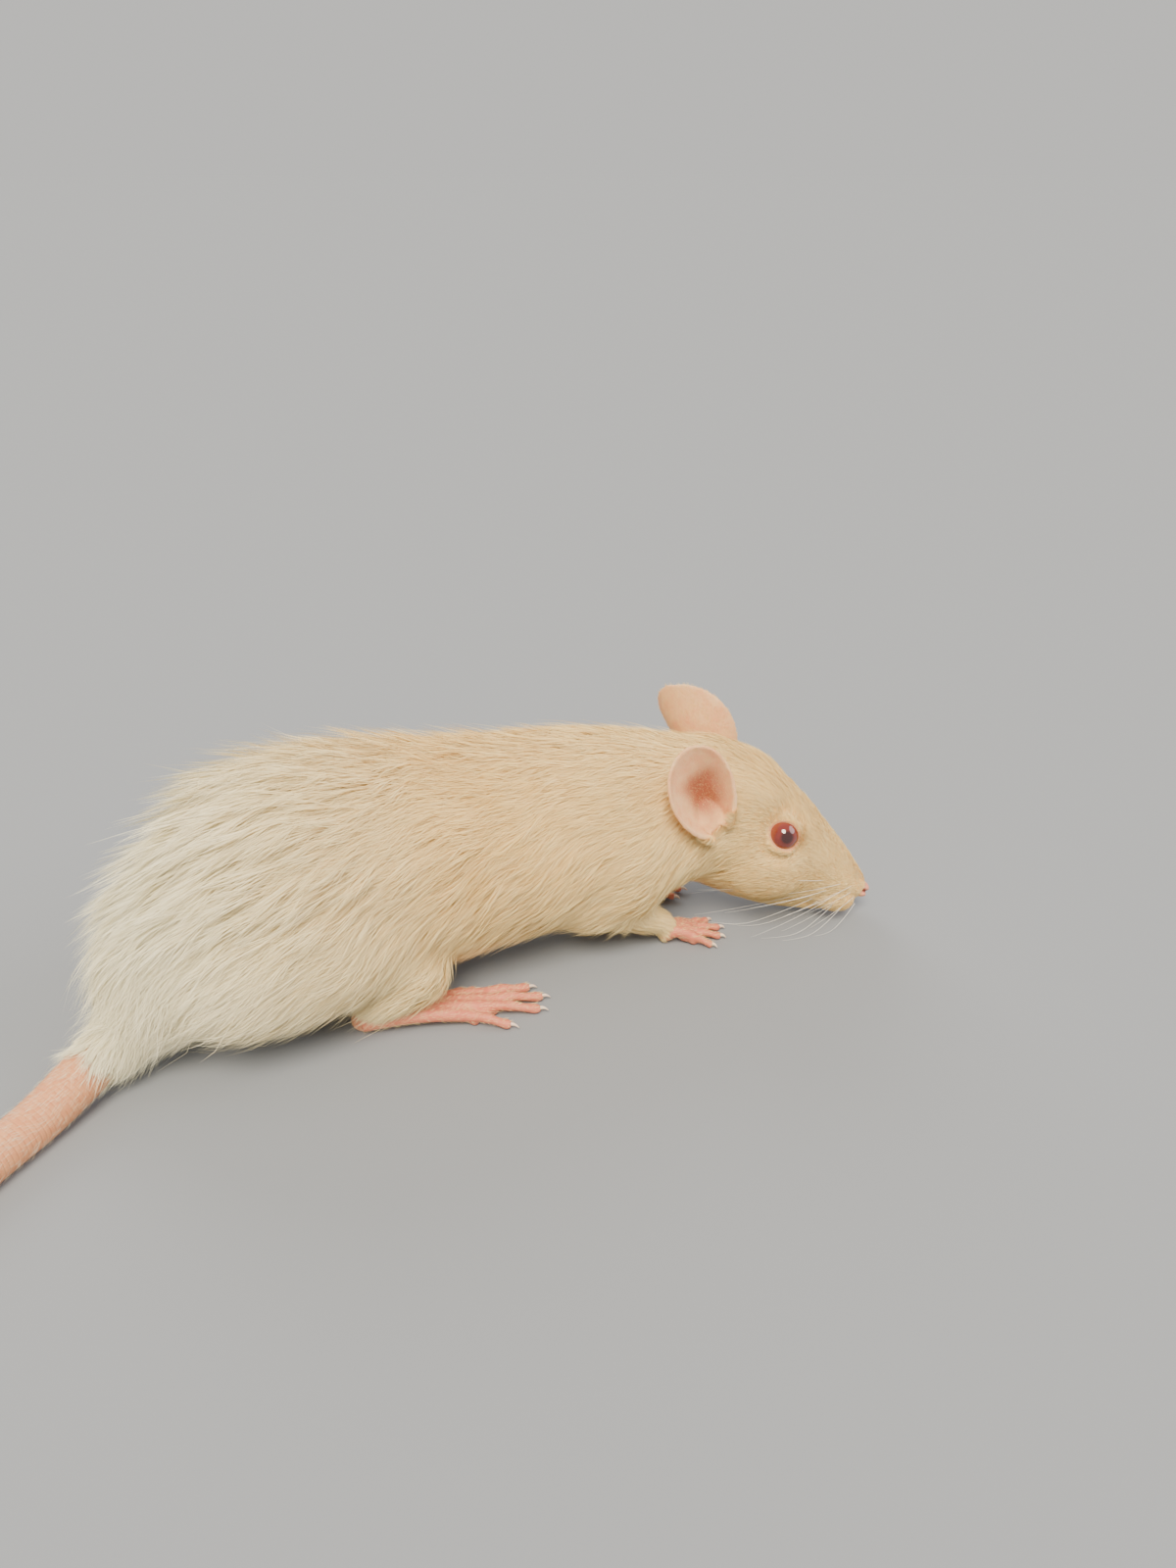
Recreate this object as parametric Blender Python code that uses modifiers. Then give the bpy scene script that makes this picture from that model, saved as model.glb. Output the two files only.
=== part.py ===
"""A young white pet rat standing low on all four feet with its nose to the ground, life size.

The animal is first described straight, in millimetres: +X towards the nose, +Y to its left,
+Z up, with the soles at z = 0. bend() then curves the spine to the right. Trunk, neck and head
are one fused body that thin cuts divide afterwards; feet, ears, eyes and tail are their own
forms, trimmed clear of it. At the end the whole animal is set with the middle of its footprint
over the origin. The solids are the outside of the coat.
"""

import math

import bmesh
import bpy
import numpy as np
from mathutils import Matrix, Vector

MM = 0.001
GAP = 0.3  # free space between neighbouring solids
SPINE_HEADINGS = (  # x along the spine, heading in degrees: the body curves to its right
    (-110.0, 17.0),
    (-80.0, 16.0),
    (-35.0, 7.0),
    (5.0, -1.5),
    (33.0, -11.0),
    (46.0, -19.0),
    (56.0, -22.0),
    (110.0, -22.0),
)

# Head: a blunt wedge along an axis that drops forward from the nape to the nose
NOSE = (76.4, 0.0, 7.2)
HEAD_PITCH = 30.0  # degrees below level
HEAD_ROLL = 7.0  # degrees, right ear down
HEAD_SECTIONS = (  # distance behind the nose tip, half width, height above axis, depth below it
    (0.0, 1.6, 0.4, 2.3),
    (1.5, 3.1, 1.4, 5.8),
    (3.5, 4.6, 2.5, 8.9),
    (8.0, 6.2, 4.9, 11.8),
    (13.0, 7.3, 7.2, 14.4),
    (19.0, 8.6, 9.9, 16.3),
    (25.0, 10.2, 12.2, 16.9),
    (31.0, 12.0, 13.5, 16.9),
    (38.0, 13.6, 13.9, 16.8),
    (46.0, 14.8, 13.6, 16.8),
)

# Trunk: upright sections from the neck back to the tail root
TRUNK_SECTIONS = (  # x, height of the middle, half width, half height
    (40.0, 27.0, 15.0, 14.5),
    (31.0, 26.0, 16.8, 17.2),
    (20.0, 25.7, 18.8, 19.8),
    (6.0, 25.7, 20.4, 21.0),
    (-10.0, 26.4, 21.8, 22.4),
    (-26.0, 27.5, 22.8, 24.1),
    (-42.0, 27.8, 22.2, 24.3),
    (-55.0, 25.1, 18.9, 21.4),
    (-64.0, 20.2, 17.0, 16.9),
    (-70.5, 15.7, 13.2, 12.4),
    (-74.0, 13.2, 9.3, 9.1),
    (-75.9, 12.0, 5.5, 5.8),
    (-77.0, 11.9, 2.3, 2.5),
)

# Masses of muscle under the coat: centre, radii, pitch (degrees, nose-up positive)
HAUNCH = ((-41.9, 15.2, 19.9), (26.0, 9.8, 11.9), 7.0)
SHOULDER = ((22.0, 11.5, 22.0), (12.0, 8.5, 15.0), -30.0)
HEAD_MASSES = {
    "cheek": ((52.5, 7.0, 19.0), (9.0, 5.0, 7.5), -20.0),
    "muzzle_pad": ((70.0, 3.0, 6.6), (4.6, 2.8, 3.9), -28.0),
}

# Where the thigh parts from the trunk: an egg round the haunch
THIGH_REGION = ((-39.0, 24.0, 19.0), (24.0, 11.0, 19.0), 6.0)

HEAD_CUT = 39.0  # behind the nose tip, along the head's axis
NECK_CUT_POINT = (30.0, 0.0, 28.0)
NECK_CUT_PITCH = 16.0

# Legs: joints as (x, distance from the midline, z) and radii there
FORELEG = {  # elbow, mid forearm, wrist
    "right": (((14.0, 10.5, 13.2), 6.0), ((23.0, 9.8, 9.8), 4.8), ((32.5, 8.2, 5.4), 3.0)),
    "left": (((12.0, 10.8, 12.8), 6.0), ((19.0, 10.8, 9.2), 4.8), ((27.0, 9.4, 5.0), 3.0)),
}
HINDLEG = {  # knee, mid shank, heel
    "right": (((-23.0, 18.0, 12.0), 6.2), ((-28.0, 16.2, 9.0), 5.2), ((-34.5, 14.0, 5.4), 3.6)),
    "left": (((-18.0, 18.0, 12.0), 6.2), ((-23.0, 16.2, 9.0), 5.2), ((-29.5, 13.6, 5.4), 3.6)),
}
FOREPAW = {"right": (31.5, 8.2, -2.0), "left": (26.0, 9.4, 3.0)}  # wrist x, side, toe-out
HINDPAW = {"right": (-36.0, 13.6, 12.0), "left": (-31.0, 13.2, 9.0)}  # heel x, side, toe-out

# Feet, from the wrist or heel forwards: sole line and digits
HIND_SOLE = (  # distance forward, half width, height
    (-0.8, 1.0, 2.6),
    (0.0, 1.9, 4.0),
    (2.0, 2.5, 4.9),
    (6.0, 2.8, 4.8),
    (11.0, 3.0, 4.2),
    (18.0, 3.8, 3.6),
    (25.0, 4.6, 3.2),
    (27.5, 4.4, 2.8),
)
HIND_DIGITS = (  # root forward, root side, length, splay in degrees (positive away from midline)
    (19.0, -3.3, 6.0, -20.0),
    (26.0, -3.0, 9.6, -9.0),
    (27.0, -0.9, 10.8, -2.0),
    (26.6, 1.3, 10.2, 6.0),
    (22.5, 3.5, 8.0, 20.0),
)
FORE_SOLE = (
    (-0.6, 1.4, 2.8),
    (0.2, 2.3, 4.3),
    (3.0, 2.7, 4.2),
    (6.0, 3.4, 3.4),
    (8.0, 3.2, 2.8),
)
FORE_DIGITS = (
    (7.0, -2.4, 5.0, -22.0),
    (7.8, -0.8, 6.0, -6.0),
    (7.6, 0.9, 5.8, 8.0),
    (6.4, 2.5, 4.8, 26.0),
)
DIGIT_RADIUS = {"hind": 1.25, "fore": 1.05}

# Ears: thin leaves that open forwards and outwards
EAR = {"length": 19.5, "width": 16.6, "thickness": 0.9, "cup": 4.4}
EAR_ROOT = {"left": (42.0, 10.4, 31.2), "right": (40.0, 11.0, 32.7)}
EAR_TURNS = {  # lean outwards, lean backwards, turn of the opening from ahead to the side
    "left": (14.0, 16.0, 48.0),
    "right": (13.0, 24.0, 60.0),
}

# Eyes: balls set in the side of the head
EYE_RADIUS = 3.5
EYE_BACK = 25.6  # behind the nose tip, along the head's axis
EYE_RISE = 5.25
EYE_SIDE = 7.0

# Tail: laid on the ground in one slow S behind the rump
TAIL_LENGTH = 160.0
TAIL_ROOT = (-71.0, -1.0, 8.6)
TAIL_HEADINGS = (36.0, 45.0, -10.0)  # at the root, past the first bend and at the tip
TAIL_RADII = ((0.0, 5.0), (8.0, 4.5), (30.0, 3.9), (80.0, 2.9), (130.0, 1.7), (157.0, 0.8))
TAIL_NODES = ("tail_base", "tail_middle", "tail_end", "tail_tip")
TAIL_REST = 0.93  # height of its centre over the ground, as a share of its radius

TRIANGLES = {"trunk": 1700, "head": 1560, "neck": 340, "thigh": 360, "shank": 150, "foreleg": 190,
             "hind_foot": 640, "forepaw": 470, "ear": 230}

VOXEL = 0.9
COLOURS = {  # base colour, roughness
    "coat": ((0.86, 0.80, 0.68), 0.85),
    "bare_skin": ((0.84, 0.58, 0.52), 0.55),
    "eye": ((0.45, 0.07, 0.08), 0.12),
}
SIDES = {"left": 1.0, "right": -1.0}


def clear_scene():
    for obj in list(bpy.data.objects):
        bpy.data.objects.remove(obj, do_unlink=True)


def make_collection(name):
    collection = bpy.data.collections.new(name)
    bpy.context.scene.collection.children.link(collection)
    return collection


def make_material(name):
    colour, roughness = COLOURS[name]
    material = bpy.data.materials.new(name)
    material.use_nodes = True
    shader = material.node_tree.nodes["Principled BSDF"]
    shader.inputs["Base Color"].default_value = (*colour, 1.0)
    shader.inputs["Roughness"].default_value = roughness
    shader.inputs["Metallic"].default_value = 0.0
    return material


def spline(stations, values, at):
    """Natural cubic spline through (stations, values), read at the given places."""
    x, y = np.asarray(stations, float), np.asarray(values, float)
    h = np.diff(x)
    system = np.eye(len(x))
    right = np.zeros(len(x))
    for i in range(1, len(x) - 1):
        system[i, i - 1 : i + 2] = h[i - 1], 2 * (h[i - 1] + h[i]), h[i]
        right[i] = 6 * ((y[i + 1] - y[i]) / h[i] - (y[i] - y[i - 1]) / h[i - 1])
    m = np.linalg.solve(system, right)
    at = np.clip(at, x[0], x[-1])
    i = np.clip(np.searchsorted(x, at) - 1, 0, len(h) - 1)
    a, b = x[i + 1] - at, at - x[i]
    cubic = (m[i] * a**3 + m[i + 1] * b**3) / (6 * h[i])
    return cubic + (y[i] / h[i] - m[i] * h[i] / 6) * a + (y[i + 1] / h[i] - m[i + 1] * h[i] / 6) * b


def spine_line():
    """Places and headings along the bent spine, one for each millimetre."""
    x = np.arange(-110.0, 111.0)
    heading = np.radians(np.interp(x, *zip(*SPINE_HEADINGS)))
    for _ in range(40):
        heading[1:-1] = (heading[:-2] + 2 * heading[1:-1] + heading[2:]) / 4
    middle = (heading[1:] + heading[:-1]) / 2
    ahead = np.r_[0, np.cumsum(np.cos(middle))]
    aside = np.r_[0, np.cumsum(np.sin(middle))]
    return x, heading, ahead - ahead[110], aside - aside[110]


def bend(points):
    """Straight millimetres to bent metres: each point keeps its place beside the spine."""
    p = np.asarray(points, float).reshape(-1, 3)
    stations, headings, ahead, aside = spine_line()
    turn = np.interp(p[:, 0], stations, headings)
    x = np.interp(p[:, 0], stations, ahead) - p[:, 1] * np.sin(turn)
    y = np.interp(p[:, 0], stations, aside) + p[:, 1] * np.cos(turn)
    return np.stack([x, y, p[:, 2]], 1) * MM


def bend_mesh(mesh):
    """Bends a mesh that was modelled straight, in millimetres."""
    flat = np.empty(len(mesh.vertices) * 3)
    mesh.vertices.foreach_get("co", flat)
    mesh.vertices.foreach_set("co", bend(flat).ravel())
    mesh.update()
    return mesh


def mesh_from(bm, name):
    bmesh.ops.recalc_face_normals(bm, faces=bm.faces[:])
    mesh = bpy.data.meshes.new(name)
    bm.to_mesh(mesh)
    bm.free()
    return mesh


def loft(name, rings):
    """A closed skin over rings of equal count, with an n-gon at each end."""
    bm = bmesh.new()
    made = [[bm.verts.new(p) for p in ring] for ring in rings]
    count = len(made[0])
    for near, far in zip(made, made[1:]):
        for i in range(count):
            j = (i + 1) % count
            bm.faces.new((near[i], near[j], far[j], far[i]))
    bm.faces.new(made[0])
    bm.faces.new(made[-1])
    return mesh_from(bm, name)


def oval(centre, side, up, half_width, above, below, count=32):
    """Ring round centre whose upper and lower halves have their own heights."""
    ring = []
    for i in range(count):
        angle = 2 * math.pi * i / count
        rise = math.sin(angle) * (above if math.sin(angle) > 0 else below)
        ring.append(Vector(centre) + Vector(side) * half_width * math.cos(angle) + Vector(up) * rise)
    return ring


def head_point(back, side=0.0, rise=0.0):
    """Straight place of a point given along the head's axis from the nose tip."""
    pitch = math.radians(HEAD_PITCH)
    x = NOSE[0] - back * math.cos(pitch) + rise * math.sin(pitch)
    z = NOSE[2] + back * math.sin(pitch) + rise * math.cos(pitch)
    return Vector((x, side, z))


def rolled(mesh):
    """Tilts something modelled on an upright head, about the head's own axis."""
    pitch = math.radians(HEAD_PITCH)
    axis = Vector((math.cos(pitch), 0.0, -math.sin(pitch)))
    there = Matrix.Translation(NOSE)
    mesh.transform(there @ Matrix.Rotation(math.radians(HEAD_ROLL), 4, axis) @ there.inverted())
    return mesh


def head_mesh():
    stations = [s[0] for s in HEAD_SECTIONS]
    up = (math.sin(math.radians(HEAD_PITCH)), 0.0, math.cos(math.radians(HEAD_PITCH)))
    rings = []
    for back in np.linspace(stations[0], stations[-1], 40):
        width, above, below = (
            float(spline(stations, [s[k] for s in HEAD_SECTIONS], back)) for k in (1, 2, 3)
        )
        rings.append(oval(head_point(back), (0, 1, 0), up, width, above, below))
    return bend_mesh(rolled(loft("head_form", rings)))


def trunk_mesh():
    sections = TRUNK_SECTIONS[::-1]
    stations = [s[0] for s in sections]
    rings = []
    for x in np.linspace(stations[0], stations[-1], 56):
        middle, width, height = (
            float(spline(stations, [s[k] for s in sections], x)) for k in (1, 2, 3)
        )
        rings.append(oval((x, 0, middle), (0, 1, 0), (0, 0, 1), width, height, height))
    return bend_mesh(loft("trunk_form", rings))


def egg(name, spec, side, grow=0.0, on_head=False):
    """An ellipsoid from (centre, radii, pitch), on the side that is asked for."""
    centre, radii, pitch = spec
    place = Matrix.Translation((centre[0], centre[1] * side, centre[2]))
    turn = Matrix.Rotation(math.radians(-pitch), 4, "Y")
    size = Matrix.Diagonal([r + grow for r in radii] + [1.0])
    bm = bmesh.new()
    bmesh.ops.create_icosphere(bm, subdivisions=4, radius=1.0, matrix=place @ turn @ size)
    mesh = mesh_from(bm, name)
    return bend_mesh(rolled(mesh) if on_head else mesh)


def tube(name, path, radii, resolution=4):
    """A closed tube in bent metres along straight points, each with its own radius."""
    curve = bpy.data.curves.new(name, "CURVE")
    curve.dimensions = "3D"
    curve.bevel_depth = MM
    curve.bevel_resolution = resolution
    curve.use_fill_caps = True
    line = curve.splines.new("POLY")
    line.points.add(len(path) - 1)
    for point, place, radius in zip(line.points, path, radii):
        point.co = (*place, 1.0)
        point.radius = radius
    obj = bpy.data.objects.new(name, curve)
    bpy.context.scene.collection.objects.link(obj)
    mesh = bpy.data.meshes.new_from_object(obj.evaluated_get(bpy.context.evaluated_depsgraph_get()))
    bpy.data.objects.remove(obj)
    bm = bmesh.new()
    bm.from_mesh(mesh)
    bmesh.ops.remove_doubles(bm, verts=bm.verts[:], dist=1e-6)
    return mesh_from(bm, name)


def limb(name, joints, side):
    """A tapering tube through (place, radius) joints, with rounded ends."""
    spots = np.array([(x, y * side, z) for (x, y, z), _ in joints], float)
    radii = np.array([radius for _, radius in joints])
    steps = np.r_[0.0, np.cumsum(np.linalg.norm(np.diff(spots, axis=0), axis=1))]
    at = np.linspace(0.0, steps[-1], 14)
    path = np.stack([spline(steps, spots[:, k], at) for k in range(3)], 1)
    size = spline(steps, radii, at)
    lead = path[0] - path[1]
    tail = path[-1] - path[-2]
    first = path[0] + lead / np.linalg.norm(lead) * size[0] * 0.8
    last = path[-1] + tail / np.linalg.norm(tail) * size[-1] * 0.8
    path = np.vstack([first, path, last])
    size = np.r_[size[0] * 0.55, size, size[-1] * 0.55]
    return tube(name, bend(path), size)


def sole_mesh(name, sections, start):
    """The flat part of a foot: an arched bar from the heel or wrist to the roots of the digits."""
    stations = [s[0] for s in sections]
    rings = []
    for forward in np.linspace(stations[0], stations[-1], 16):
        width, height = (float(spline(stations, [s[k] for s in sections], forward)) for k in (1, 2))
        rings.append(
            oval((forward, 0, height * 0.42), (0, 1, 0), (0, 0, 1), width, height * 0.58, height * 0.5)
        )
    mesh = loft(name, rings)
    mesh.transform(start)
    return bend_mesh(mesh)


def digit_meshes(name, digits, radius, start, side):
    """Digits with a raised middle knuckle and a small claw that touches the ground."""
    meshes = []
    for number, (forward, across, length, splay) in enumerate(digits):
        heading = math.radians(splay * side)
        along = Vector((math.cos(heading), math.sin(heading), 0.0))
        root = Vector((forward, across * side, 0.0))
        shares = ((-0.15, 1.5, 1.0), (0.2, 1.7, 1.0), (0.45, 1.75, 1.08), (0.7, 1.3, 0.86), (0.9, 1.0, 0.95))
        path = [start @ (root + along * length * share + Vector((0, 0, height * radius)))
                for share, height, _ in shares]
        meshes.append(tube(f"{name}_{number}", bend(path), [size * radius for *_, size in shares]))
        claw = ((0.9, 1.1, 0.6), (1.05, 1.0, 0.45), (1.18, 0.55, 0.28))
        path = [start @ (root + along * length * share + Vector((0, 0, height * radius)))
                for share, height, _ in claw]
        meshes.append(tube(f"{name}_claw_{number}", bend(path), [size * radius for *_, size in claw], 2))
    return meshes


def joined(name, meshes):
    """Several closed meshes as one mesh of overlapping shells."""
    bm = bmesh.new()
    for mesh in meshes:
        bm.from_mesh(mesh)
        bpy.data.meshes.remove(mesh)
    mesh = bpy.data.meshes.new(name)
    bm.to_mesh(mesh)
    bm.free()
    return mesh


def baked(obj):
    """The object's mesh with its modifiers applied; the object keeps it and drops them."""
    bpy.context.view_layer.update()
    graph = bpy.context.evaluated_depsgraph_get()
    mesh = bpy.data.meshes.new_from_object(obj.evaluated_get(graph))
    obj.modifiers.clear()
    obj.data = mesh
    return obj


def fused(name, meshes, voxel, smoothing, triangles, collection):
    """One smooth closed surface over overlapping shells, thinned to about so many triangles."""
    obj = bpy.data.objects.new(name, joined(name, meshes))
    collection.objects.link(obj)
    remesh = obj.modifiers.new("fuse", "REMESH")
    remesh.mode = "VOXEL"
    remesh.voxel_size = voxel * MM
    smooth = obj.modifiers.new("soften", "SMOOTH")
    smooth.factor = 0.5
    smooth.iterations = smoothing
    return thinned(baked(obj), triangles)


def thinned(obj, triangles):
    """Reduces the mesh to about so many triangles."""
    present = sum(len(face.vertices) - 2 for face in obj.data.polygons)
    thin = obj.modifiers.new("thin", "DECIMATE")
    thin.ratio = min(1.0, triangles / present)
    thin.use_collapse_triangulate = True
    return baked(obj)


def boolean(obj, mesh, operation):
    """Cuts obj by a mesh given in bent metres, or keeps what they share."""
    cutter = bpy.data.objects.new(mesh.name, mesh)
    bpy.context.scene.collection.objects.link(cutter)
    cutter.hide_render = True
    modifier = obj.modifiers.new("cut", "BOOLEAN")
    modifier.operation = operation
    modifier.object = cutter
    baked(obj)
    bpy.data.objects.remove(cutter)
    return obj


def copy_of(obj, name, collection):
    twin = bpy.data.objects.new(name, obj.data.copy())
    collection.objects.link(twin)
    return twin


def slab(name, point, pitch, near, far):
    """A big block square to the spine at a straight point, tilted forward by pitch degrees. It
    reaches from near to far along its own axis."""
    stations, headings, *_ = spine_line()
    heading = float(np.interp(point[0], stations, headings))
    turn = Matrix.Rotation(heading, 4, "Z") @ Matrix.Rotation(math.radians(pitch), 4, "Y")
    middle = Matrix.Translation(((near + far) / 2 * MM, 0, 0))
    size = Matrix.Diagonal(((far - near) * MM, 0.13, 0.13, 1.0))
    bm = bmesh.new()
    place = Matrix.Translation(bend(point)[0]) @ turn @ middle @ size
    bmesh.ops.create_cube(bm, size=1.0, matrix=place)
    return mesh_from(bm, name)


def grown(obj, distance):
    """A copy of the object's mesh moved out along its normals."""
    mesh = obj.data.copy()
    mesh.name = "clearance"
    places = np.empty(len(mesh.vertices) * 3)
    normals = np.empty(len(mesh.vertices) * 3)
    mesh.vertices.foreach_get("co", places)
    mesh.vertex_normals.foreach_get("vector", normals)
    mesh.vertices.foreach_set("co", places + normals * distance * MM)
    mesh.update()
    return mesh


def make_body(collection):
    """Head, neck, trunk, haunches and shoulders as one form."""
    pieces = [trunk_mesh(), head_mesh()]
    for side in SIDES.values():
        pieces += [egg("haunch", HAUNCH, side), egg("shoulder", SHOULDER, side)]
        pieces += [egg(name, spec, side, on_head=True) for name, spec in HEAD_MASSES.items()]
    return fused("body", pieces, VOXEL, 10, 6000, collection)


def eye_ball(name, side, radius, detail=4):
    """A ball round the eye's centre on the tilted head."""
    bm = bmesh.new()
    place = Matrix.Translation(head_point(EYE_BACK, EYE_SIDE * side, EYE_RISE))
    bmesh.ops.create_icosphere(bm, subdivisions=detail, radius=radius, matrix=place)
    return bend_mesh(rolled(mesh_from(bm, name)))


def ear_mesh(name, word):
    """A rounded leaf, broad at its root and cupped across, before it gets its thickness."""
    rows, columns = 9, 8
    side = SIDES[word]
    lean_out, lean_back, opening = (math.radians(angle) for angle in EAR_TURNS[word])
    bm = bmesh.new()
    grid = []
    for i in range(rows + 1):
        v = i / rows
        rise = EAR["length"] * (v - 0.12)
        half = EAR["width"] / 2 * (max(0.0, 1 - max(0.0, (v - 0.42) / 0.58) ** 2.3)) ** 0.5 * (0.8 + 0.2 * v)
        row = []
        for j in range(columns + 1):
            u = 2 * j / columns - 1
            across = half * math.sin(u * math.pi / 2)
            depth = EAR["cup"] * (1 - v * 0.65) * (u * u - 0.5) + 1.4 * (v - 0.5) ** 2
            row.append(bm.verts.new((depth, across, rise)))
        grid.append(row)
    for low, high in zip(grid, grid[1:]):
        for j in range(columns):
            bm.faces.new((low[j], low[j + 1], high[j + 1], high[j]))
    bmesh.ops.remove_doubles(bm, verts=bm.verts[:], dist=0.05)
    mesh = mesh_from(bm, name)
    x, y, z = EAR_ROOT[word]
    turn = (
        Matrix.Translation((x, y * side, z))
        @ Matrix.Rotation(-lean_out * side, 4, "X")
        @ Matrix.Rotation(-lean_back, 4, "Y")
        @ Matrix.Rotation(opening * side, 4, "Z")
    )
    mesh.transform(turn)
    return bend_mesh(rolled(mesh))


def make_ear(word, body, collection):
    name = f"ear_{word}"
    obj = bpy.data.objects.new(name, ear_mesh(name, word))
    collection.objects.link(obj)
    shell = obj.modifiers.new("thickness", "SOLIDIFY")
    shell.thickness = EAR["thickness"] * MM
    shell.offset = 0.0
    shell.use_even_offset = True
    baked(obj)
    return thinned(keep_largest(boolean(obj, grown(body, GAP), "DIFFERENCE")), TRIANGLES["ear"])


def keep_largest(obj):
    """Drops stray crumbs that a cut leaves, keeping the piece with most faces."""
    bm = bmesh.new()
    bm.from_mesh(obj.data)
    left = set(bm.verts)
    islands = []
    while left:
        stack = [left.pop()]
        island = set(stack)
        while stack:
            for edge in stack.pop().link_edges:
                for vert in edge.verts:
                    if vert not in island:
                        island.add(vert)
                        stack.append(vert)
        left -= island
        islands.append(island)
    biggest = max(islands, key=len)
    bmesh.ops.delete(bm, geom=[v for v in bm.verts if v not in biggest], context="VERTS")
    bm.to_mesh(obj.data)
    bm.free()
    return obj


def divide_body(body, collection):
    """Parts the fused body into head, neck, trunk and two thighs with cuts of GAP."""
    reach, half_gap = 120.0, GAP / 2
    head_at = head_point(HEAD_CUT)
    nodes = {name: copy_of(body, name, collection) for name in ("head", "neck", "trunk")}
    for name, point, pitch, near, far in (
        ("head", head_at, HEAD_PITCH, half_gap, reach),
        ("neck", head_at, HEAD_PITCH, -reach, -half_gap),
        ("neck", NECK_CUT_POINT, NECK_CUT_PITCH, half_gap, reach),
        ("trunk", NECK_CUT_POINT, NECK_CUT_PITCH, -reach, -half_gap),
    ):
        boolean(nodes[name], slab(f"{name}_side", point, pitch, near, far), "INTERSECT")
    for word, side in SIDES.items():
        thigh = nodes[f"thigh_{word}"] = copy_of(nodes["trunk"], f"thigh_{word}", collection)
        boolean(thigh, egg("thigh_region", THIGH_REGION, side), "INTERSECT")
    for side in SIDES.values():
        boolean(nodes["trunk"], egg("thigh_clearance", THIGH_REGION, side, GAP), "DIFFERENCE")
        boolean(nodes["head"], eye_ball("socket", side, EYE_RADIUS + GAP, 3), "DIFFERENCE")
    for name, obj in nodes.items():
        thinned(keep_largest(obj), TRIANGLES[name.split("_")[0]])
    boolean(nodes["trunk"], tube("tail_hole", *tail_part(0.0, 40.0, 1.4 * GAP), 3), "DIFFERENCE")
    return nodes


def foot_start(spec, side):
    x, across, toe_out = spec
    there = Matrix.Translation((x, across * side, 0.0))
    return there @ Matrix.Rotation(math.radians(toe_out * side), 4, "Z")


def flat_sole(obj):
    """Trims the foot level with the ground."""
    bm = bmesh.new()
    under = Matrix.Translation((0, 0, -0.05)) @ Matrix.Diagonal((1, 1, 0.1, 1))
    bmesh.ops.create_cube(bm, size=1.0, matrix=under)
    return boolean(obj, mesh_from(bm, "ground"), "DIFFERENCE")


def make_foot(name, kind, spec, side, collection):
    sections, digits = (HIND_SOLE, HIND_DIGITS) if kind == "hind" else (FORE_SOLE, FORE_DIGITS)
    start = foot_start(spec, side)
    pieces = [sole_mesh(name, sections, start)]
    pieces += digit_meshes(name, digits, DIGIT_RADIUS[kind], start, side)
    return flat_sole(fused(name, pieces, 0.38, 2, TRIANGLES[name.rpartition("_")[0]], collection))


def ease(x):
    x = np.clip(x, 0.0, 1.0)
    return x * x * (3 - 2 * x)


def tail_part(start, end, grow=0.0):
    """Centre line in bent metres and radii of the tail between two distances from its root. It
    drops out of the rump and then lies on the ground, swinging to the right and back again."""
    along = np.linspace(0.0, TAIL_LENGTH, 160)
    radius = np.interp(along, *zip(*TAIL_RADII))
    heading = np.radians(TAIL_HEADINGS[0] + (TAIL_HEADINGS[1] - TAIL_HEADINGS[0]) * ease(along / 40)
                         + (TAIL_HEADINGS[2] - TAIL_HEADINGS[1]) * ease((along - 45) / 110))
    root = bend(TAIL_ROOT)[0] / MM
    step = along[1] - along[0]
    x = root[0] - np.r_[0, np.cumsum(np.cos(heading[:-1]))] * step
    y = root[1] - np.r_[0, np.cumsum(np.sin(heading[:-1]))] * step
    z = radius * TAIL_REST + (root[2] - radius[0] * TAIL_REST) * (1 - ease(along / 24))
    at = np.linspace(start, end, 9)
    places = np.stack([np.interp(at, along, line) for line in (x, y, z)], 1)
    return places * MM, np.interp(at, along, radius) + grow


def make_tail(collection):
    nodes = {}
    ends = np.linspace(0.4, TAIL_LENGTH, len(TAIL_NODES) + 1)
    for name, start, end in zip(TAIL_NODES, ends, ends[1:]):
        places, sizes = tail_part(start + GAP / 2, end - GAP / 2)
        if name == TAIL_NODES[-1]:
            sizes[-1] *= 0.4
        nodes[name] = bpy.data.objects.new(name, tube(name, places, sizes, 3))
        collection.objects.link(nodes[name])
        flat_sole(nodes[name])
    return nodes


def make_leg(name, joints, side, clear_of, triangles, collection):
    """The part of a leg that stands clear of the body, above its foot."""
    leg = fused(name, [limb(name, joints, side)], 0.7, 2, 2 * triangles, collection)
    for other in clear_of:
        boolean(leg, grown(other, GAP), "DIFFERENCE")
    return thinned(keep_largest(leg), triangles)


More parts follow.
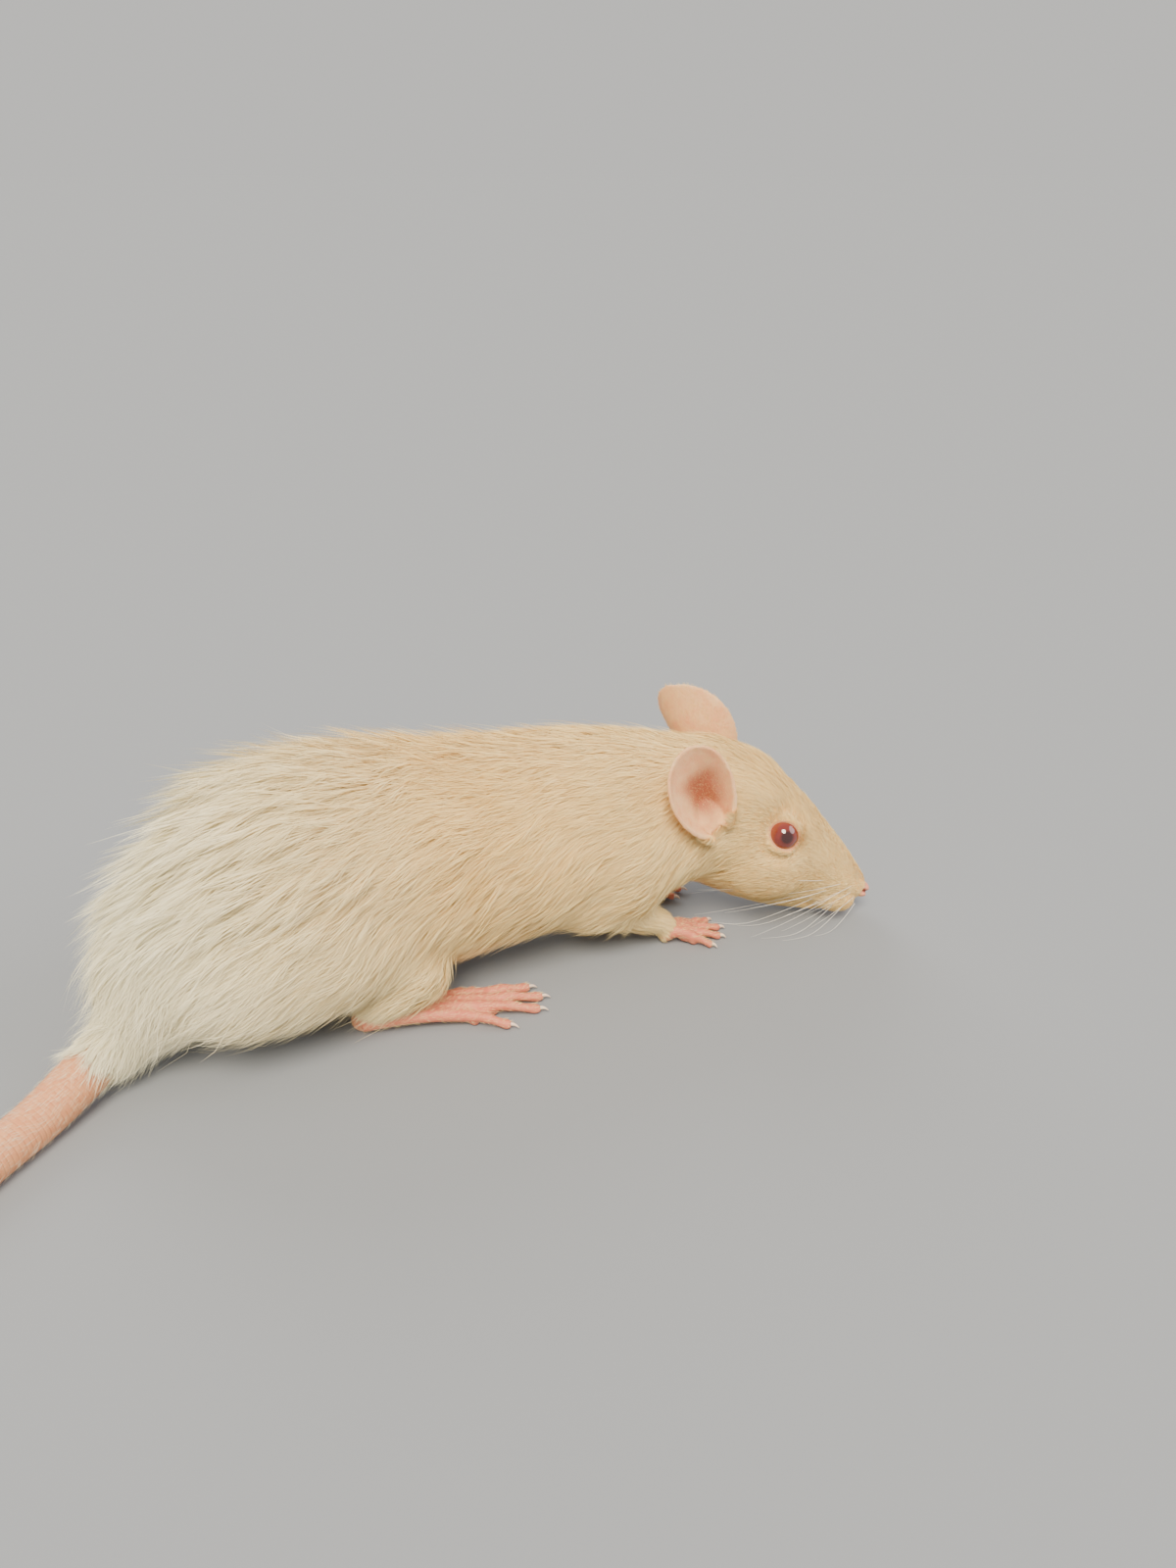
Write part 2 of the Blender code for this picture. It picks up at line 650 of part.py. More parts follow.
def make_rat():
    clear_scene()
    collection = make_collection("rat")
    materials = {name: make_material(name) for name in COLOURS}
    body = make_body(collection)
    nodes = divide_body(body, collection)
    for word, side in SIDES.items():
        ball = eye_ball("eye", side, EYE_RADIUS, 3)
        nodes[f"eye_{word}"] = bpy.data.objects.new(f"eye_{word}", ball)
        collection.objects.link(nodes[f"eye_{word}"])
        nodes[f"ear_{word}"] = make_ear(word, body, collection)
        fore = make_foot(f"forepaw_{word}", "fore", FOREPAW[word], side, collection)
        hind = make_foot(f"hind_foot_{word}", "hind", HINDPAW[word], side, collection)
        nodes[fore.name], nodes[hind.name] = fore, hind
        nodes[f"foreleg_{word}"] = make_leg(
            f"foreleg_{word}", FORELEG[word], side, (body, fore), TRIANGLES["foreleg"], collection
        )
        nodes[f"shank_{word}"] = make_leg(
            f"shank_{word}", HINDLEG[word], side, (body, hind), TRIANGLES["shank"], collection
        )
    nodes.update(make_tail(collection))
    bpy.data.objects.remove(body)
    for name, obj in nodes.items():
        slot = "eye" if name.startswith("eye") else "coat"
        if name.startswith(("ear", "forepaw", "hind_foot", "tail")):
            slot = "bare_skin"
        obj.data.materials.clear()
        obj.data.materials.append(materials[slot])
        obj.data.shade_smooth()
    stand_over_origin(nodes.values())


def stand_over_origin(objects):
    """Moves the whole animal so that the middle of its box is over the origin, soles at z = 0."""
    points = [obj.matrix_world @ v.co for obj in objects for v in obj.data.vertices]
    low = Vector(map(min, zip(*points)))
    high = Vector(map(max, zip(*points)))
    shift = Vector((-(low.x + high.x) / 2, -(low.y + high.y) / 2, -low.z))
    for obj in objects:
        obj.location = shift
    print("shift", [round(v / MM, 3) for v in shift], "size", [round(v / MM, 1) for v in high - low])


make_rat()
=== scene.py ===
import itertools
import math

import bmesh
import bpy
import numpy as np
from mathutils import Matrix, Vector


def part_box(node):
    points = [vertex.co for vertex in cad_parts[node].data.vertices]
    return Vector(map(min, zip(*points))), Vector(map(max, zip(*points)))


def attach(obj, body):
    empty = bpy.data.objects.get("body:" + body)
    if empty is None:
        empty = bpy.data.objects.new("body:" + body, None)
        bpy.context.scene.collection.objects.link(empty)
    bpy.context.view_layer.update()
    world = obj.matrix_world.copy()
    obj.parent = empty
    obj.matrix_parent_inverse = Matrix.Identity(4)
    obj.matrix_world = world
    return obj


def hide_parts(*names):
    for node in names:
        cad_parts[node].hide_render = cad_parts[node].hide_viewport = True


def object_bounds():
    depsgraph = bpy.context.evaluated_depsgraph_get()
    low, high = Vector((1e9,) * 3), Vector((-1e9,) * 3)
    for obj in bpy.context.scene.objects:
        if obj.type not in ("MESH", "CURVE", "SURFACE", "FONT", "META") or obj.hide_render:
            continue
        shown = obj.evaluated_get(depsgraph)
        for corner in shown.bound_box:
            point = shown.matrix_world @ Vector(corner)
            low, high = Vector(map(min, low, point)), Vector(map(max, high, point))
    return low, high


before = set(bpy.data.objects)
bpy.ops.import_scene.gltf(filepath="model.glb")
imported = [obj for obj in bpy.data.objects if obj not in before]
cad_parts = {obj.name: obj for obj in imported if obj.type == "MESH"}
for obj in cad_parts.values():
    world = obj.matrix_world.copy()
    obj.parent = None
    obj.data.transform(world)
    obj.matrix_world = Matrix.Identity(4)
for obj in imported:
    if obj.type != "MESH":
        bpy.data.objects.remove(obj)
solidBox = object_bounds()

# Everything below is shaped on a straight-backed animal in millimetres (x to the nose, y to its
# left, z up). bend() then curves the spine and puts the result in the frame's metres.

spine = {
    "stations": (-110, -80, -35, 5, 33, 46, 56, 110),  # x along the spine
    "headings": (17, 16, 7, -1.5, -11, -19, -22, -22),  # its heading there in degrees
    "behind": 290,  # how far it is carried on both ways
    "ahead": 110,
    "smoothing": 40,
}

headPlan = {
    "nose": (76.4, 0.0, 7.2),
    "pitch": 30.0,
    "roll": 7.0,
    "narrowing": (0.10, 0.20),  # of the width above and below the middle
    "sections": (  # distance behind the nose, half width, rise above the axis, drop below it
        (0.0, 1.6, 0.4, 2.3),
        (1.5, 3.1, 1.4, 5.8),
        (3.5, 4.6, 2.5, 8.9),
        (8.0, 6.2, 4.9, 11.8),
        (13.0, 7.3, 7.2, 14.4),
        (19.0, 8.6, 9.9, 16.3),
        (25.0, 10.2, 12.2, 16.9),
        (31.0, 12.0, 13.5, 16.9),
        (38.0, 13.6, 13.9, 16.8),
        (46.0, 14.8, 13.6, 16.8),
    ),
}

eyePlan = {
    "back": 25.6,  # behind the nose, sideways, and above the head's axis
    "side": 7.0,
    "rise": 5.25,
    "radius": 3.5,
    "gaze": (0.20, 0.90, 0.40),
    "lid": 4.15,  # radius of the lids' ball, and of the hollow behind their opening
    "hollow": 2.6,
    "opening": (0.96, 0.79, 0.10),  # almond's half length, half height, and how much it thins ahead
    "almondPitch": 6,  # its nose-down tilt beyond the head's own, in degrees
    "edge": (0.88, 1.02),  # the hollow's rim, in half lengths of the opening
    "within": (0.15, 6.0),  # the lids lie ahead of this and nearer than this
    "fold": (1.30, 0.08, 0.20),  # where the fold lies round the opening, its width and depth
}

trunkPlan = (  # x, height of the middle, half width, half height
    (-76.4, 11.8, 2.0, 2.4),
    (-75.2, 11.8, 5.2, 5.5),
    (-73.4, 12.9, 8.8, 8.7),
    (-69.9, 15.3, 12.6, 12.0),
    (-63.3, 19.7, 16.4, 16.3),
    (-55.0, 24.4, 18.4, 20.6),
    (-42.0, 27.1, 21.6, 23.5),
    (-26.0, 26.8, 22.3, 23.3),
    (-10.0, 25.8, 21.4, 21.7),
    (6.0, 25.3, 20.1, 20.5),
    (20.0, 25.5, 18.6, 19.5),
    (31.0, 25.9, 16.7, 17.1),
    (40.0, 26.9, 15.0, 14.4),
)

trunkNarrowing = (0.05, -0.02)
sides = {"left": 1.0, "right": -1.0}


def cubicThrough(stations, values, at):
    # natural cubic spline: straight second derivatives between the stations, none at the ends
    x, y = np.asarray(stations, float), np.asarray(values, float)
    h = np.diff(x)
    system = np.eye(len(x))
    right = np.zeros(len(x))
    for i in range(1, len(x) - 1):
        system[i, i - 1 : i + 2] = h[i - 1], 2 * (h[i - 1] + h[i]), h[i]
        right[i] = 6 * ((y[i + 1] - y[i]) / h[i] - (y[i] - y[i - 1]) / h[i - 1])
    m = np.linalg.solve(system, right)
    at = np.clip(at, x[0], x[-1])
    i = np.clip(np.searchsorted(x, at) - 1, 0, len(h) - 1)
    a, b = x[i + 1] - at, at - x[i]
    return (
        (m[i] * a**3 + m[i + 1] * b**3) / (6 * h[i])
        + (y[i] / h[i] - m[i] * h[i] / 6) * a
        + (y[i + 1] / h[i] - m[i + 1] * h[i] / 6) * b
    )


def ease(x, low=0.0, high=1.0):
    # the smooth step 3t2 - 2t3 between low and high
    t = np.clip((x - low) / (high - low), 0.0, 1.0)
    return t * t * (3 - 2 * t)


def bell(x, width):
    # exp(-(x / width)^2)
    return np.exp(-((x / width) ** 2))


def spineLine():
    # headings from the table, smoothed, then summed a millimetre at a time: the steps' cosines give
    # the way ahead and their sines the way aside, both counted from x = 0
    x = np.arange(-spine["behind"], spine["ahead"] + 1.0)
    heading = np.radians(np.interp(x, spine["stations"], spine["headings"]))
    for _ in range(spine["smoothing"]):
        heading[1:-1] = (heading[:-2] + 2 * heading[1:-1] + heading[2:]) / 4
    middle = (heading[1:] + heading[:-1]) / 2
    ahead = np.r_[0, np.cumsum(np.cos(middle))]
    aside = np.r_[0, np.cumsum(np.sin(middle))]
    origin = spine["behind"]
    return x, heading, ahead - ahead[origin], aside - aside[origin]


spineParts = spineLine()
placeShift = np.zeros(3)  # metres from the spine's own origin to the frame's


def bend(points):
    # a point at (x, y, z) goes to the spine's place at x, plus y along the normal there
    p = np.asarray(points, float).reshape(-1, 3)
    stations, headings, ahead, aside = spineParts
    turn = np.interp(p[:, 0], stations, headings)
    x = np.interp(p[:, 0], stations, ahead) - p[:, 1] * np.sin(turn)
    y = np.interp(p[:, 0], stations, aside) + p[:, 1] * np.cos(turn)
    return np.stack([x, y, p[:, 2]], 1) * 0.001 + placeShift


def headMatrix():
    # the head's roll about its own axis, which runs back and up from the nose
    pitch = math.radians(headPlan["pitch"])
    axis = Vector((math.cos(pitch), 0.0, -math.sin(pitch)))
    there = Matrix.Translation(headPlan["nose"])
    return np.array(there @ Matrix.Rotation(math.radians(headPlan["roll"]), 4, axis) @ there.inverted())


def through(matrix, points):
    # points turned and moved by a 4 x 4 matrix
    m = np.asarray(matrix, float)
    return np.asarray(points, float) @ m[:3, :3].T + m[:3, 3]


rollHead = headMatrix()
unrollHead = np.linalg.inv(rollHead)


def headPoint(back, side=0.0, rise=0.0):
    # place on an upright head: distance behind the nose along the axis, sideways, and square to it
    pitch = math.radians(headPlan["pitch"])
    nose = headPlan["nose"]
    x = nose[0] - back * math.cos(pitch) + rise * math.sin(pitch)
    z = nose[2] + back * math.sin(pitch) + rise * math.cos(pitch)
    return np.array([x, side, z])


def headAxes(points):
    # the reverse of headPoint, for points that are already unrolled
    pitch = math.radians(headPlan["pitch"])
    p = points - np.array(headPlan["nose"])
    back = -p[:, 0] * math.cos(pitch) + p[:, 2] * math.sin(pitch)
    rise = p[:, 0] * math.sin(pitch) + p[:, 2] * math.cos(pitch)
    return back, p[:, 1], rise


def eyeCentre(side):
    # the eye's middle on an upright head
    return headPoint(eyePlan["back"], eyePlan["side"] * side, eyePlan["rise"])


def boxMiddle(node):
    # the middle of a solid's box in the frame
    low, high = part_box(node)
    return (np.array(low) + np.array(high)) / 2


placeShift = boxMiddle("eye_left") - bend(through(rollHead, [eyeCentre(1.0)]))[0]
print("frame shift", placeShift.round(5))


def gridShell(points, capEnd=True):
    # points[i, j] is point j of the closed ring at step i; each end closes on its ring's middle
    rows, columns = points.shape[:2]
    verts = [points.reshape(-1, 3)]
    index = np.arange(rows * columns).reshape(rows, columns)
    ahead = np.roll(index, -1, axis=1)
    quads = np.stack([index[:-1], ahead[:-1], ahead[1:], index[1:]], -1).reshape(-1, 4)
    tris = []
    count = rows * columns
    for ring in (0, rows - 1) if capEnd else (0,):
        verts.append(points[ring].mean(0, keepdims=True))
        a, b = index[ring], ahead[ring]
        tip = np.full(columns, count)
        tris.append(np.stack([a, b, tip] if ring else [b, a, tip], -1))
        count += 1
    return np.vstack(verts), quads, np.vstack(tris)


def ringsAlong(centres, across, up, halfWidths, aboves, belows, count=48, narrowing=(0.0, 0.0)):
    # ring point = centre + across * width * cos(a) + up * height * sin(a), where the height differs
    # above and below the middle; the width narrows with the sine above it, with its square below
    a = np.linspace(0, 2 * np.pi, count, endpoint=False)
    c, s = np.cos(a), np.sin(a)
    top, low = narrowing
    width = c * (1 - top * np.clip(s, 0, 1) - low * np.clip(-s, 0, 1) ** 2)
    rise = np.where(s > 0, np.outer(aboves, s), np.outer(belows, s))
    aside = across[:, None] * (np.outer(halfWidths, width))[..., None]
    return centres[:, None] + aside + up[:, None] * rise[..., None]


def ballGrid(rows, columns, polar):
    # unit ball: cos u along its axis, sin u cos v and sin u sin v across it; a small polar gap is
    # left at both ends for the caps
    u = np.linspace(polar, np.pi - polar, rows)[:, None]
    v = np.linspace(0, 2 * np.pi, columns, endpoint=False)[None]
    return u, np.cos(u) * np.ones_like(v), np.sin(u) * np.cos(v), np.sin(u) * np.sin(v)


def egg(centre, radii, pitch=0.0, rows=20, columns=28):
    # the unit ball times three radii, turned nose-up by pitch and moved to its centre
    ball = np.stack(ballGrid(rows, columns, 0.02)[1:], -1)
    turn = Matrix.Rotation(math.radians(-pitch), 3, "Y")
    return gridShell((ball * np.array(radii)) @ np.array(turn).T + np.array(centre))


def pathFrames(path):
    # unit tangents, and two unit normals square to them, the second as near to up as can be
    tangent = np.gradient(path, axis=0)
    tangent /= np.linalg.norm(tangent, axis=1, keepdims=True)
    up = np.tile([0.0, 0.0, 1.0], (len(path), 1))
    up[np.abs(tangent[:, 2]) > 0.95] = (1.0, 0.0, 0.0)
    across = np.cross(up, tangent)
    across /= np.linalg.norm(across, axis=1, keepdims=True)
    return tangent, across, np.cross(tangent, across)


def tube(path, radii, count=14, flat=1.0):
    # a ring of each radius, square to the path at each point; flat squeezes it upright
    path = np.asarray(path, float)
    radii = np.asarray(radii, float)
    _, across, up = pathFrames(path)
    return gridShell(ringsAlong(path, across, up, radii, radii * flat, radii * flat, count))


def along(knots, values, count):
    # smooth samples of places and of a value through a few knots, evenly spread by length
    knots = np.asarray(knots, float)
    steps = np.r_[0, np.cumsum(np.linalg.norm(np.diff(knots, axis=0), axis=1))]
    at = np.linspace(0, steps[-1], count)
    path = np.stack([cubicThrough(steps, knots[:, k], at) for k in range(3)], 1)
    return path, cubicThrough(steps, values, at)


def limb(knots, radii, count=24, around=18):
    # a smooth tube through the knots; two smaller rings past each end round it off
    path, size = along(knots, radii, count)
    first = path[0] + (path[0] - path[1]) / np.linalg.norm(path[0] - path[1]) * size[0] * 0.85
    last = path[-1] + (path[-1] - path[-2]) / np.linalg.norm(path[-1] - path[-2]) * size[-1] * 0.85
    path = np.vstack([first, (first + path[0]) / 2, path, (last + path[-1]) / 2, last])
    size = np.r_[size[0] * 0.45, size[0] * 0.86, size, size[-1] * 0.86, size[-1] * 0.45]
    return tube(path, size, around)


def joined(shells):
    # several (points, quads, triangles) as one
    verts, quads, tris, base = [], [], [], 0
    for points, q, t in shells:
        verts.append(points)
        quads.append(q + base)
        tris.append(t + base)
        base += len(points)
    return np.vstack(verts), np.vstack(quads), np.vstack(tris)


def meshFrom(name, points, quads, tris, tested=True):
    # four-sided and three-sided faces on one list of points; the coat goes without the slow test
    mesh = bpy.data.meshes.new(name)
    mesh.vertices.add(len(points))
    mesh.vertices.foreach_set("co", np.ascontiguousarray(points, np.float32).ravel())
    corners = np.r_[quads.ravel(), tris.ravel()].astype(np.int32)
    starts = np.r_[np.arange(len(quads)) * 4, len(quads) * 4 + np.arange(len(tris)) * 3]
    mesh.loops.add(len(corners))
    mesh.loops.foreach_set("vertex_index", corners)
    mesh.polygons.add(len(starts))
    mesh.polygons.foreach_set("loop_start", starts.astype(np.int32))
    mesh.update(calc_edges=True)
    if tested:
        mesh.validate()
    mesh.shade_smooth()
    return mesh


def inScene(data):
    # a new object for a mesh, lamp or camera, at the origin and under the same name
    obj = bpy.data.objects.new(data.name, data)
    bpy.context.scene.collection.objects.link(obj)
    return obj


def readRows(items, key, columns, kind=np.float32):
    # one value list of a mesh as an array with a row for each item
    flat = np.empty(len(items) * columns, kind)
    items.foreach_get(key, flat)
    return flat.reshape(-1, columns)


def pointsOf(mesh):
    # the place of each point
    return readRows(mesh.vertices, "co", 3).astype(float)


def normalsOf(mesh):
    # the unit normal at each point
    return readRows(mesh.vertex_normals, "vector", 3).astype(float)


def linesOf(mesh):
    # the two ends of each edge
    return readRows(mesh.edges, "vertices", 2, np.int32)


def cornersOf(mesh, count):
    # the corner points of faces that all have the same count of them
    return readRows(mesh.polygons, "vertices", count, np.int32)


def putPoints(mesh, points):
    # moves a mesh's points
    mesh.vertices.foreach_set("co", np.ascontiguousarray(points, np.float32).ravel())
    mesh.update()


def settle(obj):
    # applies the object's modifiers
    graph = bpy.context.evaluated_depsgraph_get()
    mesh = bpy.data.meshes.new_from_object(obj.evaluated_get(graph))
    obj.modifiers.clear()
    obj.data = mesh
    return obj


def addValues(mesh, name, values):
    # a number, or a vector where the values come in rows, for each point of the mesh
    values = np.asarray(values, np.float32)
    kind, key = ("FLOAT", "value") if values.ndim == 1 else ("FLOAT_VECTOR", "vector")
    mesh.attributes.new(name, kind, "POINT").data.foreach_set(key, values.ravel())


def ripple(points, scale, seed, waves=7):
    # a sum of sine waves running in scattered directions, about -1 to 1
    rng = np.random.default_rng(seed)
    way = rng.normal(size=(waves, 3))
    way *= (2 * np.pi / scale * rng.uniform(0.6, 1.6, waves) / np.linalg.norm(way, axis=1))[:, None]
    return np.sin(points @ way.T + rng.uniform(0, 2 * np.pi, waves)).sum(1) / math.sqrt(waves)


# The skin lies under the coat by the coat's own depth at each place.

coatDepth = {
    "trunk": ((-76.4, -72, -60, -30, 10, 40), (0.9, 1.9, 2.7, 2.6, 2.2, 1.7)),  # by x
    "head": ((0, 4, 14, 26, 38, 46), (0.12, 0.28, 0.55, 0.85, 1.35, 1.7)),  # by distance behind the nose
    "limb": (1.8, 0.3),  # from the top of a leg to its wrist or ankle
}

coatLength = {
    "trunk": ((-77, -66, -45, -10, 20, 40), (7.5, 10.5, 10.0, 8.6, 7.4, 6.0)),
    "head": ((0, 3, 8, 14, 20, 26, 34, 44), (0.7, 1.1, 1.6, 2.1, 2.6, 3.2, 4.4, 5.8)),
    "limb": (7.4, 1.6),
}

headMasses = {  # on each side of an upright head: centre, radii, nose-up pitch
    "cheek": ((53.0, 6.8, 17.0), (10.0, 4.6, 7.6), -18),
    "brow": ((59.0, 4.0, 25.0), (6.0, 2.8, 2.2), -33),
    "crown": ((50.0, 3.4, 32.0), (9.0, 5.2, 4.6), -28),
    "chin": ((64.0, 1.4, 4.4), (5.6, 2.5, 2.2), -6),
    "earBase": ((41.0, 8.4, 29.8), (4.4, 3.0, 3.4), 0),
}

faceLines = {  # grooves on the left half of an upright head; the ear's canal is on its own axes
    "nostril": ((77.1, 0.7, 5.3), (76.8, 1.2, 5.9), (76.1, 1.6, 6.5), (75.3, 1.75, 6.7)),
    "mouth": ((73.6, 0.0, 3.3), (71.9, 1.5, 2.7), (69.0, 2.9, 2.9), (66.0, 3.9, 3.9), (63.2, 4.7, 5.7)),
    "cleft": ((77.4, 0.0, 5.6), (76.2, 0.0, 4.4), (73.8, 0.0, 3.2)),
    "canal": ((2.6, 0, -0.6), (0.9, 0, 1.8), (0.2, 0, 4.6)),
}

faceGrooves = {"nostril": (0.42, 1.1), "mouth": (0.5, 0.75), "cleft": (0.34, 0.6), "canal": (1.9, 2.0)}

whiskerPads = ((69.0, 2.9, 6.9), (5.2, 2.9, 3.9), -30)
noseBall = ((75.4, 0.0, 6.0), (1.9, 2.0, 1.7), -20)
pinkNose = ((76.4, 0.0, 6.0), (2.3, 2.4, 2.2))  # where the nose's colour reaches

bodyMasses = {  # on each side
    "haunch": ((-41.9, 15.0, 19.9), (23.6, 7.5, 9.8), 7),
    "loin": ((-20.0, 11.2, 28.6), (20.0, 8.2, 12.6), 0),
    "shoulder": ((22.0, 10.6, 22.0), (10.6, 7.0, 13.0), -30),
}

legPlan = {  # joints and radii under the coat
    "foreleg": {
        "right": (((14.0, 10.5, 13.2), 4.7), ((23.0, 9.8, 9.6), 3.6), ((32.5, 8.2, 4.2), 2.3)),
        "left": (((12.0, 10.8, 12.8), 4.7), ((19.0, 10.8, 9.0), 3.6), ((27.0, 9.4, 4.0), 2.3)),
    },
    "hindleg": {
        "right": (((-23.0, 17.2, 12.0), 4.8), ((-28.0, 16.0, 8.4), 3.7), ((-34.5, 13.8, 4.2), 2.4)),
        "left": (((-18.0, 17.2, 12.0), 4.8), ((-23.0, 16.0, 8.4), 3.7), ((-29.5, 13.4, 4.2), 2.4)),
    },
}

footPlan = {
    "forepaw": {
        "right": (31.5, 8.2, -2.0),  # start x, side, toe-out in degrees
        "left": (26.0, 9.4, 3.0),
        "digits": (  # root's distance ahead and aside, length, splay in degrees
            (7.0, -2.4, 5.0, -22.0),
            (7.8, -0.8, 6.0, -6.0),
            (7.6, 0.9, 5.8, 8.0),
            (6.4, 2.5, 4.8, 26.0),
        ),
        "thick": 0.95,
        "heel": ((1.0, 0, 2.2), (2.2, 2.1, 2.0)),  # centre and radii
        "ball": ((6.0, 0, 1.3), (3.0, 2.9, 1.3)),
        "bare": (-1.5, 16.0, 5.2),  # bare skin starts and ends this far ahead, and this high
    },
    "hindfoot": {
        "right": (-36.0, 13.6, 12.0),
        "left": (-31.0, 13.2, 9.0),
        "digits": (
            (19.0, -3.3, 6.0, -20.0),
            (26.0, -3.0, 9.6, -9.0),
            (27.0, -0.9, 10.8, -2.0),
            (26.6, 1.3, 10.2, 6.0),
            (22.5, 3.5, 8.0, 20.0),
        ),
        "thick": 1.12,
        "heel": ((1.8, 0, 2.4), (2.5, 2.0, 2.3)),
        "ball": ((22.0, 0.2, 1.2), (6.0, 3.9, 1.2)),
        "bare": (-2.0, 41.0, 5.6),
    },
}

earPlan = {
    "root": {"left": (42.0, 10.4, 31.2), "right": (40.0, 11.0, 32.7)},
    "left": (14.0, 16.0, 48.0),  # lean outwards, lean backwards, turn of the opening to the side
    "right": (13.0, 24.0, 60.0),
    "length": 19.4,
    "sunk": 0.14,  # share of the length that lies in the head
    "halfArc": 9.0,
    "roundTip": (0.42, 0.58, 2.3),  # the outline rounds off from this height over this share, by a power
    "radii": ((0, 0.12, 0.35, 0.7, 1.0), (3.2, 3.8, 6.4, 10.5, 12.5)),  # of the cup, by height
    "narrowRoot": ((0, 0.3, 0.5), (0.94, 1.0, 1.0)),
    "turnMost": 2.45,
    "leanBack": 1.5,
    "leanLeast": 0.45,
    "setBack": 1.5,
    "rimRoll": 1.1,
    "ridges": ((-0.42, 0.13, 0.7), (0.30, 0.16, 0.55)),  # place across the leaf, width and rise
    "ridgeHeight": (0.26, 0.17),  # middle and width up the leaf
    "rimDrop": 0.9,
    "thickness": (0.78, 0.86, 0.9),  # the leaf's own, times the share at the tip and what the root adds
}

tailPlan = {
    "length": 160.0,
    "root": (-71.0, -1.0, 8.6),
    "headings": (36.0, 45.0, -10.0),  # in degrees, at the root, past it and at the tip
    "bare": (6.0, 11.0),  # where the fur ends, along the tail
    "radii": ((0.0, 5.0), (8.0, 4.5), (30.0, 3.9), (80.0, 2.9), (130.0, 1.7), (157.0, 0.8)),
    "rest": 0.95,  # height of the middle over the ground, in radii
    "bends": ((0, 40), (45, 155)),  # between which distances the heading turns
    "fall": 24,  # the root comes down to the ground over this length
    "inset": 0.12,
    "behind": -70,  # the tail is looked for behind this place along x
}


def headForm():
    # rings along the head's axis, each radius being the spline through its column less the coat
    table = np.array(headPlan["sections"])
    back = np.linspace(0, 46, 70)
    inset = np.interp(back, *coatDepth["head"])
    radii = [np.clip(cubicThrough(table[:, 0], table[:, k], back) - inset, 0.5, None) for k in (1, 2, 3)]
    centres = np.array([headPoint(b) for b in back])
    pitch = math.radians(headPlan["pitch"])
    across = np.tile([0.0, 1.0, 0.0], (len(back), 1))
    up = np.tile([math.sin(pitch), 0.0, math.cos(pitch)], (len(back), 1))
    return gridShell(ringsAlong(centres, across, up, *radii, 64, headPlan["narrowing"]))


def trunkForm():
    # upright rings along x, made as the head's are
    table = np.array(trunkPlan)
    x = np.linspace(-76.3, 40, 90)
    inset = np.interp(x, *coatDepth["trunk"])
    middle = cubicThrough(table[:, 0], table[:, 1], x)
    width, height = (np.clip(cubicThrough(table[:, 0], table[:, k], x) - inset, 1.0, None) for k in (2, 3))
    centres = np.stack([x, 0 * x, middle], 1)
    across = np.tile([0.0, 1.0, 0.0], (len(x), 1))
    up = np.tile([0.0, 0.0, 1.0], (len(x), 1))
    return gridShell(ringsAlong(centres, across, up, width, height, height, 72, trunkNarrowing))


def earTurn(word):
    # from the ear's own axes, opening to -x and tip up, to its place on an upright head
    side = sides[word]
    out, back, opening = (math.radians(v) for v in earPlan[word])
    root = earPlan["root"][word]
    return np.array(
        Matrix.Translation((root[0], root[1] * side, root[2]))
        @ Matrix.Rotation(-out * side, 4, "X")
        @ Matrix.Rotation(-back, 4, "Y")
        @ Matrix.Rotation(opening * side, 4, "Z")
    )


def earArc(v):
    # at a height v from root to tip, the radius of the cupped leaf, and half the arc of its outline:
    # halfArc * sqrt(1 - t^power), where t is the share of the way from the rounding's start to the
    # tip. The root is a little narrower, and the arc is never more than turnMost radii
    start, over, power = earPlan["roundTip"]
    half = earPlan["halfArc"] * np.sqrt(np.clip(1 - np.clip((v - start) / over, 0, 1) ** power, 0, 1))
    radius = np.interp(v, *earPlan["radii"])
    return radius, np.minimum(half * np.interp(v, *earPlan["narrowRoot"]), radius * earPlan["turnMost"])


def earLean(v):
    # how far the leaf leans back at a height v: leanBack * (v - leanLeast)^2
    return earPlan["leanBack"] * (v - earPlan["leanLeast"]) ** 2


def earLeaf(v, u):
    # an arc round the ear's own axis: x = r(1 - cos a), y = r sin a with a = u * half / r. The leaf
    # leans back at root and tip, its rim rolls forward by rimRoll * |u|^7 and drops at the root by
    # rimDrop * u^2, and two ridges, bell curves across it, run up from the root
    radius, half = earArc(v)
    angle = u * half / radius
    lean = earLean(v) + earPlan["rimRoll"] * np.abs(u) ** 7 * np.clip(v * (1.15 - v), 0, 1)
    ridges = sum(rise * bell(u - across, width) for across, width, rise in earPlan["ridges"])
    middle, tall = earPlan["ridgeHeight"]
    ridges = ridges * bell(v - middle, tall)
    x = radius * (1 - np.cos(angle)) - earPlan["setBack"] + lean + ridges
    y = radius * np.sin(angle)
    z = earPlan["length"] * (v - earPlan["sunk"]) - earPlan["rimDrop"] * u * u * (1 - v)
    return np.stack([x, y, z], -1)


